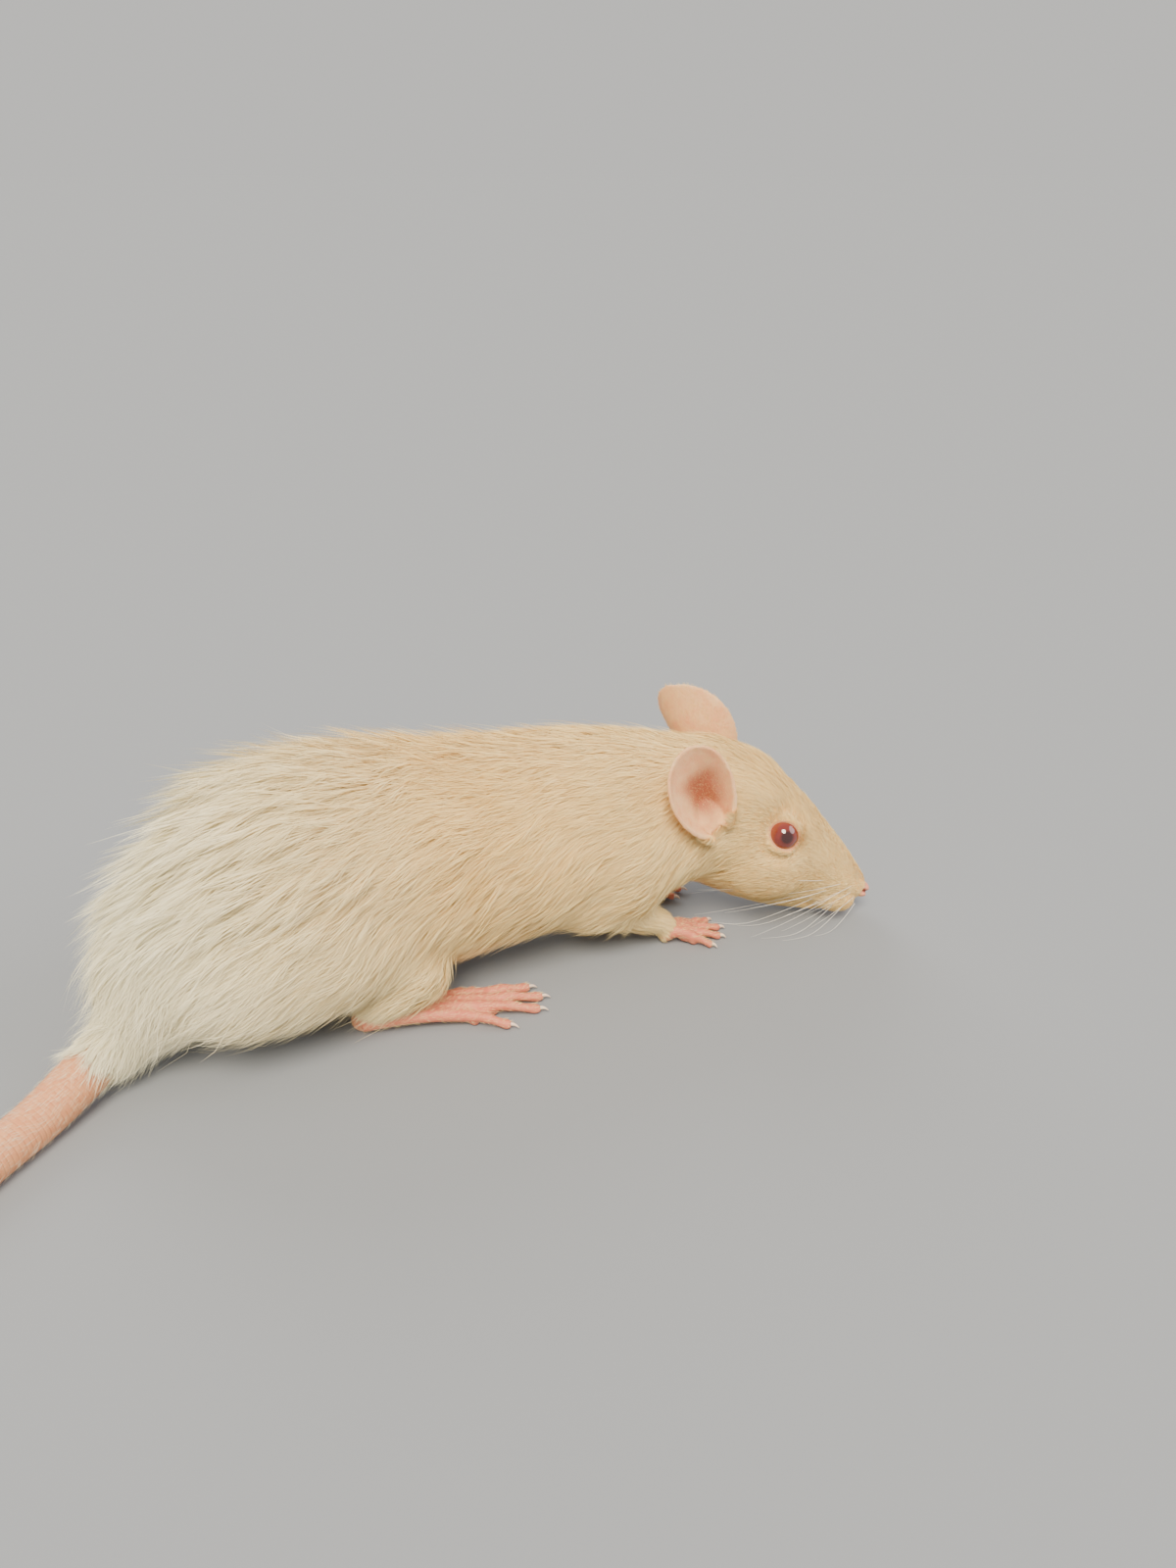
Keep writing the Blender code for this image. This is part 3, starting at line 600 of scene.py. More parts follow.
def earForm(word):
    # the leaf and its twin, moved apart along the leaf's normal, stitched into closed rings
    v = np.linspace(0.0, 0.995, 40)[:, None]
    u = np.sin(np.linspace(-1, 1, 33) * np.pi / 2)[None]
    leaf = earLeaf(v, u)
    du, dv = np.gradient(leaf, axis=1), np.gradient(leaf, axis=0)
    normal = np.cross(dv, du)
    normal /= np.linalg.norm(normal, axis=-1, keepdims=True) + 1e-9
    thick, tip, root = earPlan["thickness"]
    thick = thick * (tip + root * (1 - v[..., None]) ** 2) * np.ones_like(leaf[..., :1])
    ring = np.concatenate([leaf - normal * thick / 2, (leaf + normal * thick / 2)[:, ::-1]], axis=1)
    if sides[word] < 0:
        ring = (ring * (1, -1, 1))[:, ::-1]
    points, quads, tris = gridShell(ring)
    return through(earTurn(word), points), quads, tris


def footStart(kind, word):
    # from the foot's own axes, toes to +x, to its place on the ground
    x, side, toeOut = footPlan[kind][word]
    sign = sides[word]
    return np.array(
        Matrix.Translation((x, side * sign, 0.0)) @ Matrix.Rotation(math.radians(toeOut * sign), 4, "Z")
    )


bonePlan = {  # from heel to toe, and the pad under the toe's root
    "heel": (1.2, 0.32, 2.6),  # ahead, share of the toe's own distance aside, height
    "arch": 0.7,
    "ahead": 0.8,
    "radii": (1.85, 1.5, 1.2),
    "thick": 1.15,  # these radii belong to a toe as thick as this
    "pad": (0.3, 0.8),  # ahead of the toe's root, and height
    "padRadii": (1.1, 0.9, 0.75),
    "thumb": ((4.2, -2.2, 1.6), (5.4, -3.2, 1.3)),
    "thumbRadii": (0.9, 0.6),
}

toePlan = {  # share of a toe's length against its height and its radius
    "height": ((-0.1, 0.2, 0.42, 0.62, 0.85, 1.0), (1.75, 1.9, 1.75, 1.3, 1.02, 0.92)),
    "radius": ((-0.1, 0.18, 0.34, 0.55, 0.7, 0.86, 0.97), (1.05, 0.88, 1.0, 0.78, 0.8, 0.98, 0.62)),
}


def digitPath(kind, word, digit, count=18):
    # the toe rises to a knuckle a third of the way along and drops to its pad
    forward, across, length, splay = digit
    sign = sides[word]
    heading = math.radians(splay * sign)
    share = np.linspace(-0.1, 0.97, count)
    thick = footPlan[kind]["thick"]
    height, size = (np.interp(share, *toePlan[key]) * thick for key in ("height", "radius"))
    x = forward + np.cos(heading) * length * share
    y = across * sign + np.sin(heading) * length * share
    return np.stack([x, y, height], 1), size


def footForms(kind, word):
    # for each digit a toe, the bone behind it and a pad; then heel, ball and the forepaw's thumb
    plan = footPlan[kind]
    start = footStart(kind, word)
    sign = sides[word]
    shells = []
    for digit in plan["digits"]:
        path, size = digitPath(kind, word, digit)
        shells.append(tube(through(start, path), size, 14, 0.94))
        root = path[0]
        ahead, share, height = bonePlan["heel"]
        heel = np.array([ahead, digit[1] * sign * share, height])
        middle = (heel + root) / 2 + (0, 0, bonePlan["arch"])
        bone, width = along([heel, middle, root + (bonePlan["ahead"], 0, 0)], bonePlan["radii"], 16)
        shells.append(tube(through(start, bone), width * plan["thick"] / bonePlan["thick"], 14))
        ahead, height = bonePlan["pad"]
        pad = egg((digit[0] + ahead, digit[1] * sign, height), bonePlan["padRadii"], 0, 10, 12)
        shells.append((through(start, pad[0]), pad[1], pad[2]))
    for centre, radii in (plan["heel"], plan["ball"]):
        points, quads, tris = egg(centre, radii)
        shells.append((through(start, points), quads, tris))
    if kind == "forepaw":
        thumb = np.array(bonePlan["thumb"]) * (1, sign, 1)
        shells.append(tube(through(start, thumb), bonePlan["thumbRadii"], 10))
    return shells


def tailLine(count=160):
    # the heading turns smoothly from the first value to the second and on to the third, each step's
    # cosine and sine are summed, and the height falls from the root's to a radius off the ground
    far = np.linspace(0.0, tailPlan["length"], count)
    first, second, third = tailPlan["headings"]
    radius = np.interp(far, *zip(*tailPlan["radii"]))
    early, late = (ease(far, *span) for span in tailPlan["bends"])
    heading = np.radians(first + (second - first) * early + (third - second) * late)
    root = (bend([tailPlan["root"]])[0] - placeShift) * 1000
    step = far[1] - far[0]
    x = root[0] - np.r_[0, np.cumsum(np.cos(heading[:-1]))] * step
    y = root[1] - np.r_[0, np.cumsum(np.sin(heading[:-1]))] * step
    rest = radius * tailPlan["rest"]
    z = rest + (root[2] - rest[0]) * (1 - ease(far, 0, tailPlan["fall"]))
    return np.stack([x, y, z], 1), radius - tailPlan["inset"], far


def straighten(points):
    # the reverse of bend, in millimetres: the station moves along the spine until the point is
    # square to it, and the sideways distance is what is left
    stations, headings, ahead, aside = spineParts
    p = np.asarray(points, float)
    x = p[:, 0].copy()
    for _ in range(60):
        turn = np.interp(x, stations, headings)
        gapX = p[:, 0] - np.interp(x, stations, ahead)
        gapY = p[:, 1] - np.interp(x, stations, aside)
        x += 0.8 * (gapX * np.cos(turn) + gapY * np.sin(turn))
    return np.stack([x, gapY * np.cos(turn) - gapX * np.sin(turn), p[:, 2]], 1)


tailPath, tailRadius, tailFar = tailLine()
tailStraight = straighten(tailPath)


def massForms():
    # what is smoothed as one: trunk, haunches, shoulders, legs and the head without its fine parts
    shells = [trunkForm()]
    for word, side in sides.items():
        mirror = np.array([1, side, 1])
        for centre, radii, pitch in bodyMasses.values():
            shells.append(egg(np.array(centre) * mirror, radii, pitch, 24, 36))
        for kind in ("foreleg", "hindleg"):
            knots = [np.array(place) * mirror for place, _ in legPlan[kind][word]]
            shells.append(limb(knots, [r for _, r in legPlan[kind][word]]))
    head = [headForm()]
    for side in sides.values():
        for centre, radii, pitch in headMasses.values():
            head.append(egg(np.array(centre) * (1, side, 1), radii, pitch))
    return shells + [(through(rollHead, p), q, t) for p, q, t in head]


def fineForms():
    # what stays crisp: feet, whisker pads, lids, ears, nose and tail
    shells = []
    for word in sides:
        shells += footForms("forepaw", word) + footForms("hindfoot", word)
    head = []
    for word, side in sides.items():
        centre, radii, pitch = whiskerPads
        head.append(egg(np.array(centre) * (1, side, 1), radii, pitch))
        head.append(egg(eyeCentre(side), (eyePlan["lid"],) * 3))
        head.append(earForm(word))
    head.append(egg(*noseBall))
    shells += [(through(rollHead, p), q, t) for p, q, t in head]
    shells.append(tube(tailStraight, tailRadius, 22))
    return shells


def nearEye(upright):
    # distance from the nearer eye's centre, and the unit direction away from it
    arms = [upright - eyeCentre(sign) for sign in sides.values()]
    gaps = [np.linalg.norm(arm, axis=1) for arm in arms]
    leftward, rightward = (arm / (gap[:, None] + 1e-9) for arm, gap in zip(arms, gaps))
    return np.minimum(*gaps), np.where((gaps[1] < gaps[0])[:, None], rightward, leftward)


def headward(upright):
    # grows from the shoulders to the head; the limit between them lies square to the neck
    return upright[:, 0] + 0.35 * upright[:, 2]


def earPlace(upright, word):
    # height v on the ear's leaf, share u of its half arc, and distance off the leaf
    local = through(np.linalg.inv(earTurn(word)), upright) * (1, sides[word], 1)
    v = local[:, 2] / earPlan["length"] + earPlan["sunk"]
    radius, half = earArc(np.clip(v, 0, 1))
    middle = radius - earPlan["setBack"] + earLean(v)
    angle = np.arctan2(local[:, 1], middle - local[:, 0])
    off = np.hypot(local[:, 1], middle - local[:, 0]) - radius
    u = angle * radius / np.clip(half, 0.4, None)
    return v, u, off


maskPlan = {  # where the face's masks begin and end
    "nose": (0.75, 1.15),
    "nostril": (0.52, 0.62),  # how far out its floor lies from the nose's middle, and its width
    "mouth": 0.55,
    "lip": (0.5, 1.7),
    "lipAhead": (64, 71),
    "rim": (3.6, 4.1),
    "head": (48, 58),
}


earReach = {
    "leaf": (2.1, 1.1, 1.25),  # furthest off the leaf, up it and across it
    "cup": (-0.06, 0.55, 0.95),  # the hollow's foot, its top and how far across
    "aside": 3.0,  # least distance from the middle of the head
    "root": (0.05, 0.2),  # where the fur gives way to the leaf
    "hollowShade": (-0.20, 0.52),  # middle and width across of the ear hollow's pinker skin and painted shade, then its foot and its top
    "hollowShadeFoot": (0.02, 0.28),
    "hollowShadeTop": (0.50, 0.76),
}


def partMasks(points):
    # how much each point belongs to each bare part, 0 to 1
    upright = through(unrollHead, points)
    masks = {}
    ears, conchaShade, cup = np.zeros(len(points)), np.zeros(len(points)), np.zeros(len(points))
    for word, sign in sides.items():
        v, u, off = earPlace(upright, word)
        aside = upright[:, 1] * sign > earReach["aside"]
        thick, tall, wide = earReach["leaf"]
        near = (np.abs(off) < thick) & (v < tall) & (np.abs(u) < wide) & aside
        ears = np.maximum(ears, np.where(near, ease(v, *earReach["root"]), 0))
        foot, top, wide = earReach["cup"]
        within = (off < 0.0) & (v > foot) & (v < top) & (np.abs(u) < wide) & aside
        cup = np.maximum(cup, within)
        # the ear's hollow gets a pinker tone with painted shade, strongest across its middle and low in the
        # cup
        middle, wide = earReach["hollowShade"]
        hollowShade = np.exp(-(((u - middle) / wide) ** 4)) * (1 - ease(v, *earReach["hollowShadeTop"]))
        hollowShade = hollowShade * ease(v, *earReach["hollowShadeFoot"])
        conchaShade = np.maximum(conchaShade, np.where((near & (off < 0.1)) | within, hollowShade, 0))
    masks["ear"], masks["conchaShade"], masks["cup"] = np.maximum(ears, cup), conchaShade, cup
    feet = np.zeros(len(points))
    for kind in footPlan:
        near, far, top = footPlan[kind]["bare"]
        for word in sides:
            local = through(np.linalg.inv(footStart(kind, word)), points)
            inside = (np.abs(local[:, 1]) < 8.5) & (local[:, 0] < far) & (local[:, 0] > near - 3)
            ahead = ease(local[:, 0], near, near + 2.5) * (1 - ease(points[:, 2], top - 1.4, top))
            feet = np.maximum(feet, np.where(inside, ahead, 0))
    masks["foot"] = feet
    tail = np.zeros(len(points))
    behind = points[:, 0] < tailPlan["behind"]
    if behind.any():
        p = points[behind]
        gap = np.linalg.norm(p[:, None] - tailStraight[None, ::2], axis=2)
        nearest = gap.argmin(1)
        close = gap[np.arange(len(p)), nearest] < tailRadius[::2][nearest] + 0.9
        tail[behind] = np.where(close, ease(tailFar[::2][nearest], *tailPlan["bare"]), 0)
    masks["tail"] = tail
    nose = np.linalg.norm((upright - pinkNose[0]) / pinkNose[1], axis=1)
    masks["nose"] = 1 - ease(nose, *maskPlan["nose"])
    folded = upright * (1, 0, 1) + np.abs(upright) * (0, 1, 0)
    # the floor of the nostril lies under its line, nearer the middle of the nose; it is painted dark as the
    # shade inside the nostril
    middle = np.array(noseBall[0])
    outward, wide = maskPlan["nostril"]
    floor = middle + (np.array(faceLines["nostril"]) - middle) * outward
    masks["nostril"] = np.exp(-((lineGap(folded, floor) / wide) ** 4))
    lips = lineGap(folded, faceLines["mouth"])
    # the mouth's crease is painted darker: pinker lip skin with painted shade in the crease
    masks["mouth"] = bell(lips, maskPlan["mouth"])
    masks["lip"] = (1 - ease(lips, *maskPlan["lip"])) * ease(upright[:, 0], *maskPlan["lipAhead"])
    masks["rim"] = 1 - ease(nearEye(upright)[0], *maskPlan["rim"])
    masks["head"] = ease(headward(upright), *maskPlan["head"])
    masks["bare"] = np.maximum.reduce([ears, feet, tail, masks["nose"]])
    return masks


def relax(points, pairs, strength, rounds):
    # each point moves towards the mean of its neighbours by its own strength, again and again
    count = len(points)
    a, b = pairs[:, 0], pairs[:, 1]
    share = 1 / np.maximum(np.bincount(a, minlength=count) + np.bincount(b, minlength=count), 1)
    for _ in range(rounds):
        columns = []
        for k in range(3):
            fromB = np.bincount(a, weights=points[b, k], minlength=count)
            fromA = np.bincount(b, weights=points[a, k], minlength=count)
            columns.append((fromB + fromA) * share)
        points = points + (np.stack(columns, 1) - points) * strength[:, None]
    return points


def lineGap(points, line):
    # distance to a broken line
    line = np.asarray(line, float)
    nearest = np.full(len(points), 1e9)
    for a, b in zip(line, line[1:]):
        span = b - a
        t = np.clip(((points - a) @ span) / (span @ span), 0, 1)
        nearest = np.minimum(nearest, np.linalg.norm(points - (a + t[:, None] * span), axis=1))
    return nearest


def groove(points, normals, line, width, depth):
    # pushes points near a broken line inwards: depth * exp(-(distance / width)^2)
    return points - normals * (depth * bell(lineGap(points, line), width))[:, None]


def carveFace(points, normals):
    # lids, nostrils, ear canals and mouth, all on the upright head. The lids' ball is pushed in to
    # the hollow's radius where sqrt(e1^2 + e2^2), the place across the opening in its half lengths,
    # is below 1
    for word, sign in sides.items():
        mirror = np.array([1, sign, 1])
        centre = eyeCentre(sign)
        gaze = np.array(eyePlan["gaze"]) * mirror
        gaze /= np.linalg.norm(gaze)
        arm = points - centre
        reach = np.linalg.norm(arm, axis=1)
        unit = arm / reach[:, None]
        # the opening is an almond, longer along the head's axis than across it
        pitch = math.radians(headPlan["pitch"] + eyePlan["almondPitch"])
        length = np.array([math.cos(pitch), 0, -math.sin(pitch)])
        length -= gaze * (length @ gaze)
        length /= np.linalg.norm(length)
        across = np.cross(gaze, length)
        halfLong, halfHigh, thinning = eyePlan["opening"]
        e1 = unit @ length / halfLong
        e2 = unit @ across / (halfHigh - thinning * np.clip(unit @ length, 0, 1))
        opening = np.sqrt(e1**2 + e2**2)
        least, furthest = eyePlan["within"]
        inside = (unit @ gaze > least) & (reach < furthest)
        push = np.where(inside, 1 - ease(opening, *eyePlan["edge"]), 0)
        points = points + (centre + unit * eyePlan["hollow"] - points) * push[:, None]
        # a soft fold round the lids
        foldAt, foldWidth, foldDepth = eyePlan["fold"]
        fold = np.where(inside, bell(opening - foldAt, foldWidth), 0) * foldDepth
        points = points - normals * fold[:, None]
        for name in ("nostril", "canal", "mouth"):
            line = np.array(faceLines[name]) * mirror
            line = through(earTurn(word), line) if name == "canal" else line
            points = groove(points, normals, line, *faceGrooves[name])
    return groove(points, normals, faceLines["cleft"], *faceGrooves["cleft"])


skinPlan = {
    "massVoxel": 0.9,
    "voxel": 0.32,
    "massRounds": 16,  # of smoothing
    "rounds": 16,
    "triangles": 188000,
    "ground": 0.03,  # height at which the soles and the tail's underside lie
    "nose": (0.85, 58, 75),  # the nose and the legs keep this share of their shape in the smoothing
    "legs": (0.6, 6, 12),
    "legsFrom": (-40, -34),
    "fine": (0.24, 0.5),  # least smoothing of bare parts, and what the head keeps
    "carvedFrom": 44,
}


def fuse(name, shells, voxel):
    # closed shells that overlap become one closed skin of small squares
    obj = inScene(meshFrom(name, *joined(shells)))
    joiner = obj.modifiers.new("fuse", "REMESH")
    joiner.mode = "VOXEL"
    joiner.voxel_size = voxel
    return settle(obj)


def makeSkin():
    # the large forms are fused and smoothed, the fine ones are added and all is fused again; the
    # face is carved, and the whole is thinned to triangles
    mass = fuse("mass", massForms(), skinPlan["massVoxel"])
    points = pointsOf(mass.data)
    upright = through(unrollHead, points)
    noseKeeps, start, end = skinPlan["nose"]
    toNose = ease(upright[:, 0], start, end)
    legsKeep, low, high = skinPlan["legs"]
    legs = (1 - ease(points[:, 2], low, high)) * ease(points[:, 0], *skinPlan["legsFrom"])
    strength = 0.5 * (1 - noseKeeps * toNose) * (1 - legsKeep * legs)
    points = relax(points, linesOf(mass.data), strength, skinPlan["massRounds"])
    shells = [(points, cornersOf(mass.data, 4), np.zeros((0, 3), int))] + fineForms()
    bpy.data.objects.remove(mass)
    obj = fuse("skin", shells, skinPlan["voxel"])
    points = pointsOf(obj.data)
    masks = partMasks(points)
    least, headKeeps = skinPlan["fine"]
    softness = np.clip(1 - masks["bare"], least, 1) * (1 - headKeeps * masks["head"])
    points = relax(points, linesOf(obj.data), 0.5 * softness, skinPlan["rounds"])
    putPoints(obj.data, points)
    normals = normalsOf(obj.data)
    upright = through(unrollHead, points)
    carved = carveFace(upright, normals @ unrollHead[:3, :3].T)
    isCarved = (upright[:, 0] > skinPlan["carvedFrom"])[:, None]
    points = np.where(isCarved, through(rollHead, carved), points)
    points[:, 2] = np.maximum(points[:, 2], skinPlan["ground"])
    putPoints(obj.data, points)
    present = sum(len(face.vertices) - 2 for face in obj.data.polygons)
    thin = obj.modifiers.new("thin", "DECIMATE")
    thin.ratio = min(0.9, skinPlan["triangles"] / present)
    thin.use_collapse_triangulate = True
    settle(obj)
    print("skin", present, "->", len(obj.data.polygons))
    return obj


skin = makeSkin()
skinPoints = pointsOf(skin.data)
skinNormals = normalsOf(skin.data)
skinMasks = partMasks(skinPoints)
skinTris = cornersOf(skin.data, 3)


def tailMap(points):
    # distance along the tail and round it, for its rings of scales
    far, turn = np.zeros(len(points)), np.zeros(len(points))
    near = points[:, 0] < tailPlan["behind"]
    p = points[near]
    line = tailStraight[::2]
    best = np.linalg.norm(p[:, None] - line[None], axis=2).argmin(1)
    tangent, across, up = pathFrames(line)
    arm = p - line[best]
    far[near] = tailFar[::2][best] + (arm * tangent[best]).sum(1)
    turn[near] = np.arctan2((arm * up[best]).sum(1), (arm * across[best]).sum(1)) * 3.0
    return np.stack([far, turn, np.zeros(len(points))], 1)


legSamples = 14
legReach = {"out": (0.8, 3.5), "down": (0.2, 0.6)}  # a leg's coat fades in from the trunk's by these


def limbRows():
    # samples down the four legs, in columns: place, radius, direction, share from top to foot
    rows = []
    for kind in ("foreleg", "hindleg"):
        for word, sign in sides.items():
            knots = [np.array(place) * (1, sign, 1) for place, _ in legPlan[kind][word]]
            path, size = along(knots, [r for _, r in legPlan[kind][word]], legSamples)
            shares = np.linspace(0, 1, legSamples)
            rows.append(np.column_stack([path, size, pathFrames(path)[0], shares]))
    return np.vstack(rows)


legRows = limbRows()


def limbAt(points):
    # how much a point belongs to a leg, how far down that leg, and the leg's direction there
    gap = np.linalg.norm(points[:, None] - legRows[None, :, :3], axis=2) - legRows[:, 3]
    best = gap.argmin(1)
    share = legRows[best, 7]
    off = gap[np.arange(len(points)), best]
    weight = (1 - ease(off, *legReach["out"])) * ease(share, *legReach["down"])
    return weight, share, legRows[best, 4:7]


guide = {
    "cell": 1.0,
    "margin": 8,
    "strides": (4, 2, 1, 1),
    "straight": (1.5, 3.5),  # distances between which the straight one takes over
}


def surfaceField(points, normals, cell):
    # signed distance to the skin on a grid. Each cell starts with the skin point inside it, then
    # takes the nearest of its neighbours' choices at strides of 4, 2, 1 and 1 cells. The distance
    # is the offset along that point's normal, and further out the straight one
    margin = guide["margin"]
    low, high = points.min(0) - margin, points.max(0) + margin
    shape = tuple(np.ceil((high - low) / cell).astype(int) + 1)
    centres = np.stack(np.meshgrid(*[np.arange(n) * cell for n in shape], indexing="ij"), -1) + low
    centres = centres.astype(np.float32)
    points32 = points.astype(np.float32)
    nearest = np.full(shape, -1)
    nearest[tuple(np.round((points - low) / cell).astype(int).T)] = np.arange(len(points))
    gap = np.where(nearest >= 0, ((centres - points32[nearest]) ** 2).sum(-1), 1e9).astype(np.float32)
    for stride in guide["strides"]:
        for shift in itertools.product((-stride, 0, stride), repeat=3):
            moved = np.roll(nearest, shift, (0, 1, 2))
            rival = ((centres - points32[moved]) ** 2).sum(-1)
            closer = (moved >= 0) & (rival < gap)
            nearest = np.where(closer, moved, nearest)
            gap = np.where(closer, rival, gap)
    square = ((centres - points[nearest]) * normals[nearest]).sum(-1)
    straight = np.sqrt(gap) * np.sign(square)
    distance = square + (straight - square) * ease(np.abs(straight), *guide["straight"])
    for axis in range(3):
        distance = (np.roll(distance, 1, axis) + 2 * distance + np.roll(distance, -1, axis)) / 4
    slope = np.stack(np.gradient(distance, cell), -1)
    return low, cell, np.concatenate([distance[..., None], slope], -1).astype(np.float32)


def readField(field, points):
    # trilinear reading of distance and outward normal
    low, cell, table = field
    at = (points - low) / cell
    base = np.clip(np.floor(at).astype(int), 0, np.array(table.shape[:3]) - 2)
    f = np.clip(at - base, 0, 1)
    total = 0
    for corner in itertools.product((0, 1), repeat=3):
        weight = np.abs(1 - np.array(corner) - f).prod(1)
        total = total + table[tuple((base + corner).T)] * weight[:, None]
    normal = total[:, 1:4]
    return total[:, 0], normal / (np.linalg.norm(normal, axis=1, keepdims=True) + 1e-9)


furred = (skinMasks["ear"] < 0.4) & (skinMasks["foot"] < 0.7) & (skinMasks["tail"] < 0.7)
bodyField = surfaceField(skinPoints[furred], skinNormals[furred], guide["cell"])
print("coat guide ready")

# The coat: thin blades in small tufts that start at the skin and follow it back along the body.

coatPlan = {
    "rise": 1.4,  # no hair stands further than this above the solids
    "lowest": 0.15,
    "root": 0.12,  # depth of the hairs' roots in the skin
    "patch": 0.003,  # side of a tuft's own patch on the bake map
    "wider": 1.0,
    "share": 1.0,  # of the tufts
    "curve": 1.7,  # how soon a hair leaves the skin, and how late a standing one turns up
    "standCurve": 1.5,
    "taper": 0.6,
    "spreadLimit": 0.2,  # a tuft's spread against its length
    "hair": (0.5, 0.6, 0.07),  # scatter of single hairs ahead, aside and in their turn
    "hairLength": 0.10,
    "hairLift": 0.10,
    "hairTilt": 0.4,
}
highest = solidBox[1][2] * 1000 + coatPlan["rise"]


coatTrim = {  # share of the length that is lost, and from where to where it comes back
    "belly": (0.30, 5, 14),  # by height
    "eye": (0.66, 4.0, 8),  # by distance
    "earRoot": (0.50, 4.0, 9.0),
    "earLeaf": (0.55, 0.8, 3.2),
    "earWide": (1.15, 1.7),  # where that of the ear's leaf ends, across it and below its foot
    "earFoot": (-0.22, -0.05),
    "head": (46, 56),  # the head's tables take over from the trunk's
}


def coatAt(points):
    # length of the hair and depth of the coat at each point: the tables' values, less on the belly,
    # near the eyes, round the ears' roots and on their leaves
    upright = through(unrollHead, points)
    back, _, _ = headAxes(upright)
    isHead = ease(headward(upright), *coatTrim["head"])
    lost, low, high = coatTrim["belly"]
    belly = 1 - lost * (1 - ease(points[:, 2], low, high))
    onLimb, share, _ = limbAt(points)
    values = []
    for plan in (coatLength, coatDepth):
        value = np.interp(points[:, 0], *plan["trunk"]) * belly * (1 - isHead)
        value = value + np.interp(back, *plan["head"]) * isHead
        leg = plan["limb"][0] + (plan["limb"][1] - plan["limb"][0]) * share
        values.append(value * (1 - onLimb) + leg * onLimb)
    length, depth = values
    lost, low, high = coatTrim["eye"]
    remains = 1 - lost * (1 - ease(nearEye(upright)[0], low, high))
    for word, sign in sides.items():
        gap = np.linalg.norm(upright - np.array(earPlan["root"][word]) * (1, sign, 1), axis=1)
        lost, low, high = coatTrim["earRoot"]
        remains *= 1 - lost * (1 - ease(gap, low, high))
        v, u, off = earPlace(upright, word)
        lost, low, high = coatTrim["earLeaf"]
        leaf = (1 - ease(np.abs(off), low, high)) * (1 - ease(np.abs(u), *coatTrim["earWide"]))
        leaf = leaf * ease(v, *coatTrim["earFoot"])
        remains *= 1 - lost * leaf * (upright[:, 1] * sign > 2.0)
    return length * remains, depth * (0.2 + 0.8 * remains)


coatLie = {
    "down": 0.12,  # against 1 backwards
    "rumpDown": (0.8, 58, 76),  # how much more, and between which distances behind the middle
    "lowDown": 0.30,
    "aside": 0.16,
    "back": (18, 48),  # heights between which the flank turns into the back
    "muzzle": (80.0, 0, 9.0),  # the face's hair leads away from here
    "head": (50, 66),
    "eye": (0.9, 4.2, 8.0),  # away from the eye, and how far
    "ear": (0.25, 4.0, 9.0),
}


def furFlow(points, normals):
    # unit lie of the coat: back along the body and a little down, down the limbs, back from the
    # nose, and round the eyes and ears
    upright = through(unrollHead, points)
    flow = np.tile([-1.0, 0.0, -coatLie["down"]], (len(points), 1))
    more, start, end = coatLie["rumpDown"]
    flow[:, 2] -= more * ease(-points[:, 0], start, end)
    high = ease(points[:, 2], *coatLie["back"])
    flow[:, 2] -= coatLie["lowDown"] * (1 - high)
    flow[:, 1] += coatLie["aside"] * np.clip(points[:, 1] / 10, -1, 1) * high
    fromNose = upright - coatLie["muzzle"]
    fromNose /= np.linalg.norm(fromNose, axis=1, keepdims=True)
    isHead = ease(headward(upright), *coatLie["head"])[:, None]
    flow = flow * (1 - isHead) + fromNose * isHead
    gap, away = nearEye(upright)
    push, near, far = coatLie["eye"]
    flow += away * (push * (1 - ease(gap, near, far)))[:, None]
    push, near, far = coatLie["ear"]
    for word, sign in sides.items():
        root = np.array(earPlan["root"][word]) * (1, sign, 1) + (0, 0, -0.5)
        arm = upright - root
        gap = np.linalg.norm(arm * (1, 1, 0.8), axis=1)
        ahead = ease(arm[:, 0], -2.0, 3.0)
        flow += arm / (gap[:, None] + 1e-9) * (push * ahead * (1 - ease(gap, near, far)))[:, None]
    onLimb, _, tangent = limbAt(points)
    flow = flow * (1 - onLimb[:, None]) + tangent * onLimb[:, None]
    flow -= normals * (flow * normals).sum(1, keepdims=True)
    return flow / (np.linalg.norm(flow, axis=1, keepdims=True) + 1e-9)


def sampleSkin(rng, chosen, perArea):
    # even random spots over the chosen triangles: corner weights 1-sqrt(r), sqrt(r)(1-q), sqrt(r)q
    tris = skinTris[chosen]
    a, b, c = (skinPoints[tris[:, k]] for k in range(3))
    area = np.linalg.norm(np.cross(b - a, c - a), axis=1) / 2
    count = int(area.sum() * perArea)
    pick = np.clip(np.searchsorted(np.cumsum(area), rng.uniform(0, area.sum(), count)), 0, len(tris) - 1)
    r, q = np.sqrt(rng.uniform(size=count)), rng.uniform(size=count)
    weight = np.stack([1 - r, r * (1 - q), r * q], 1)[..., None]
    normals = (skinNormals[tris[pick]] * weight).sum(1)
    normals /= np.linalg.norm(normals, axis=1, keepdims=True)
    return (skinPoints[tris[pick]] * weight).sum(1), normals


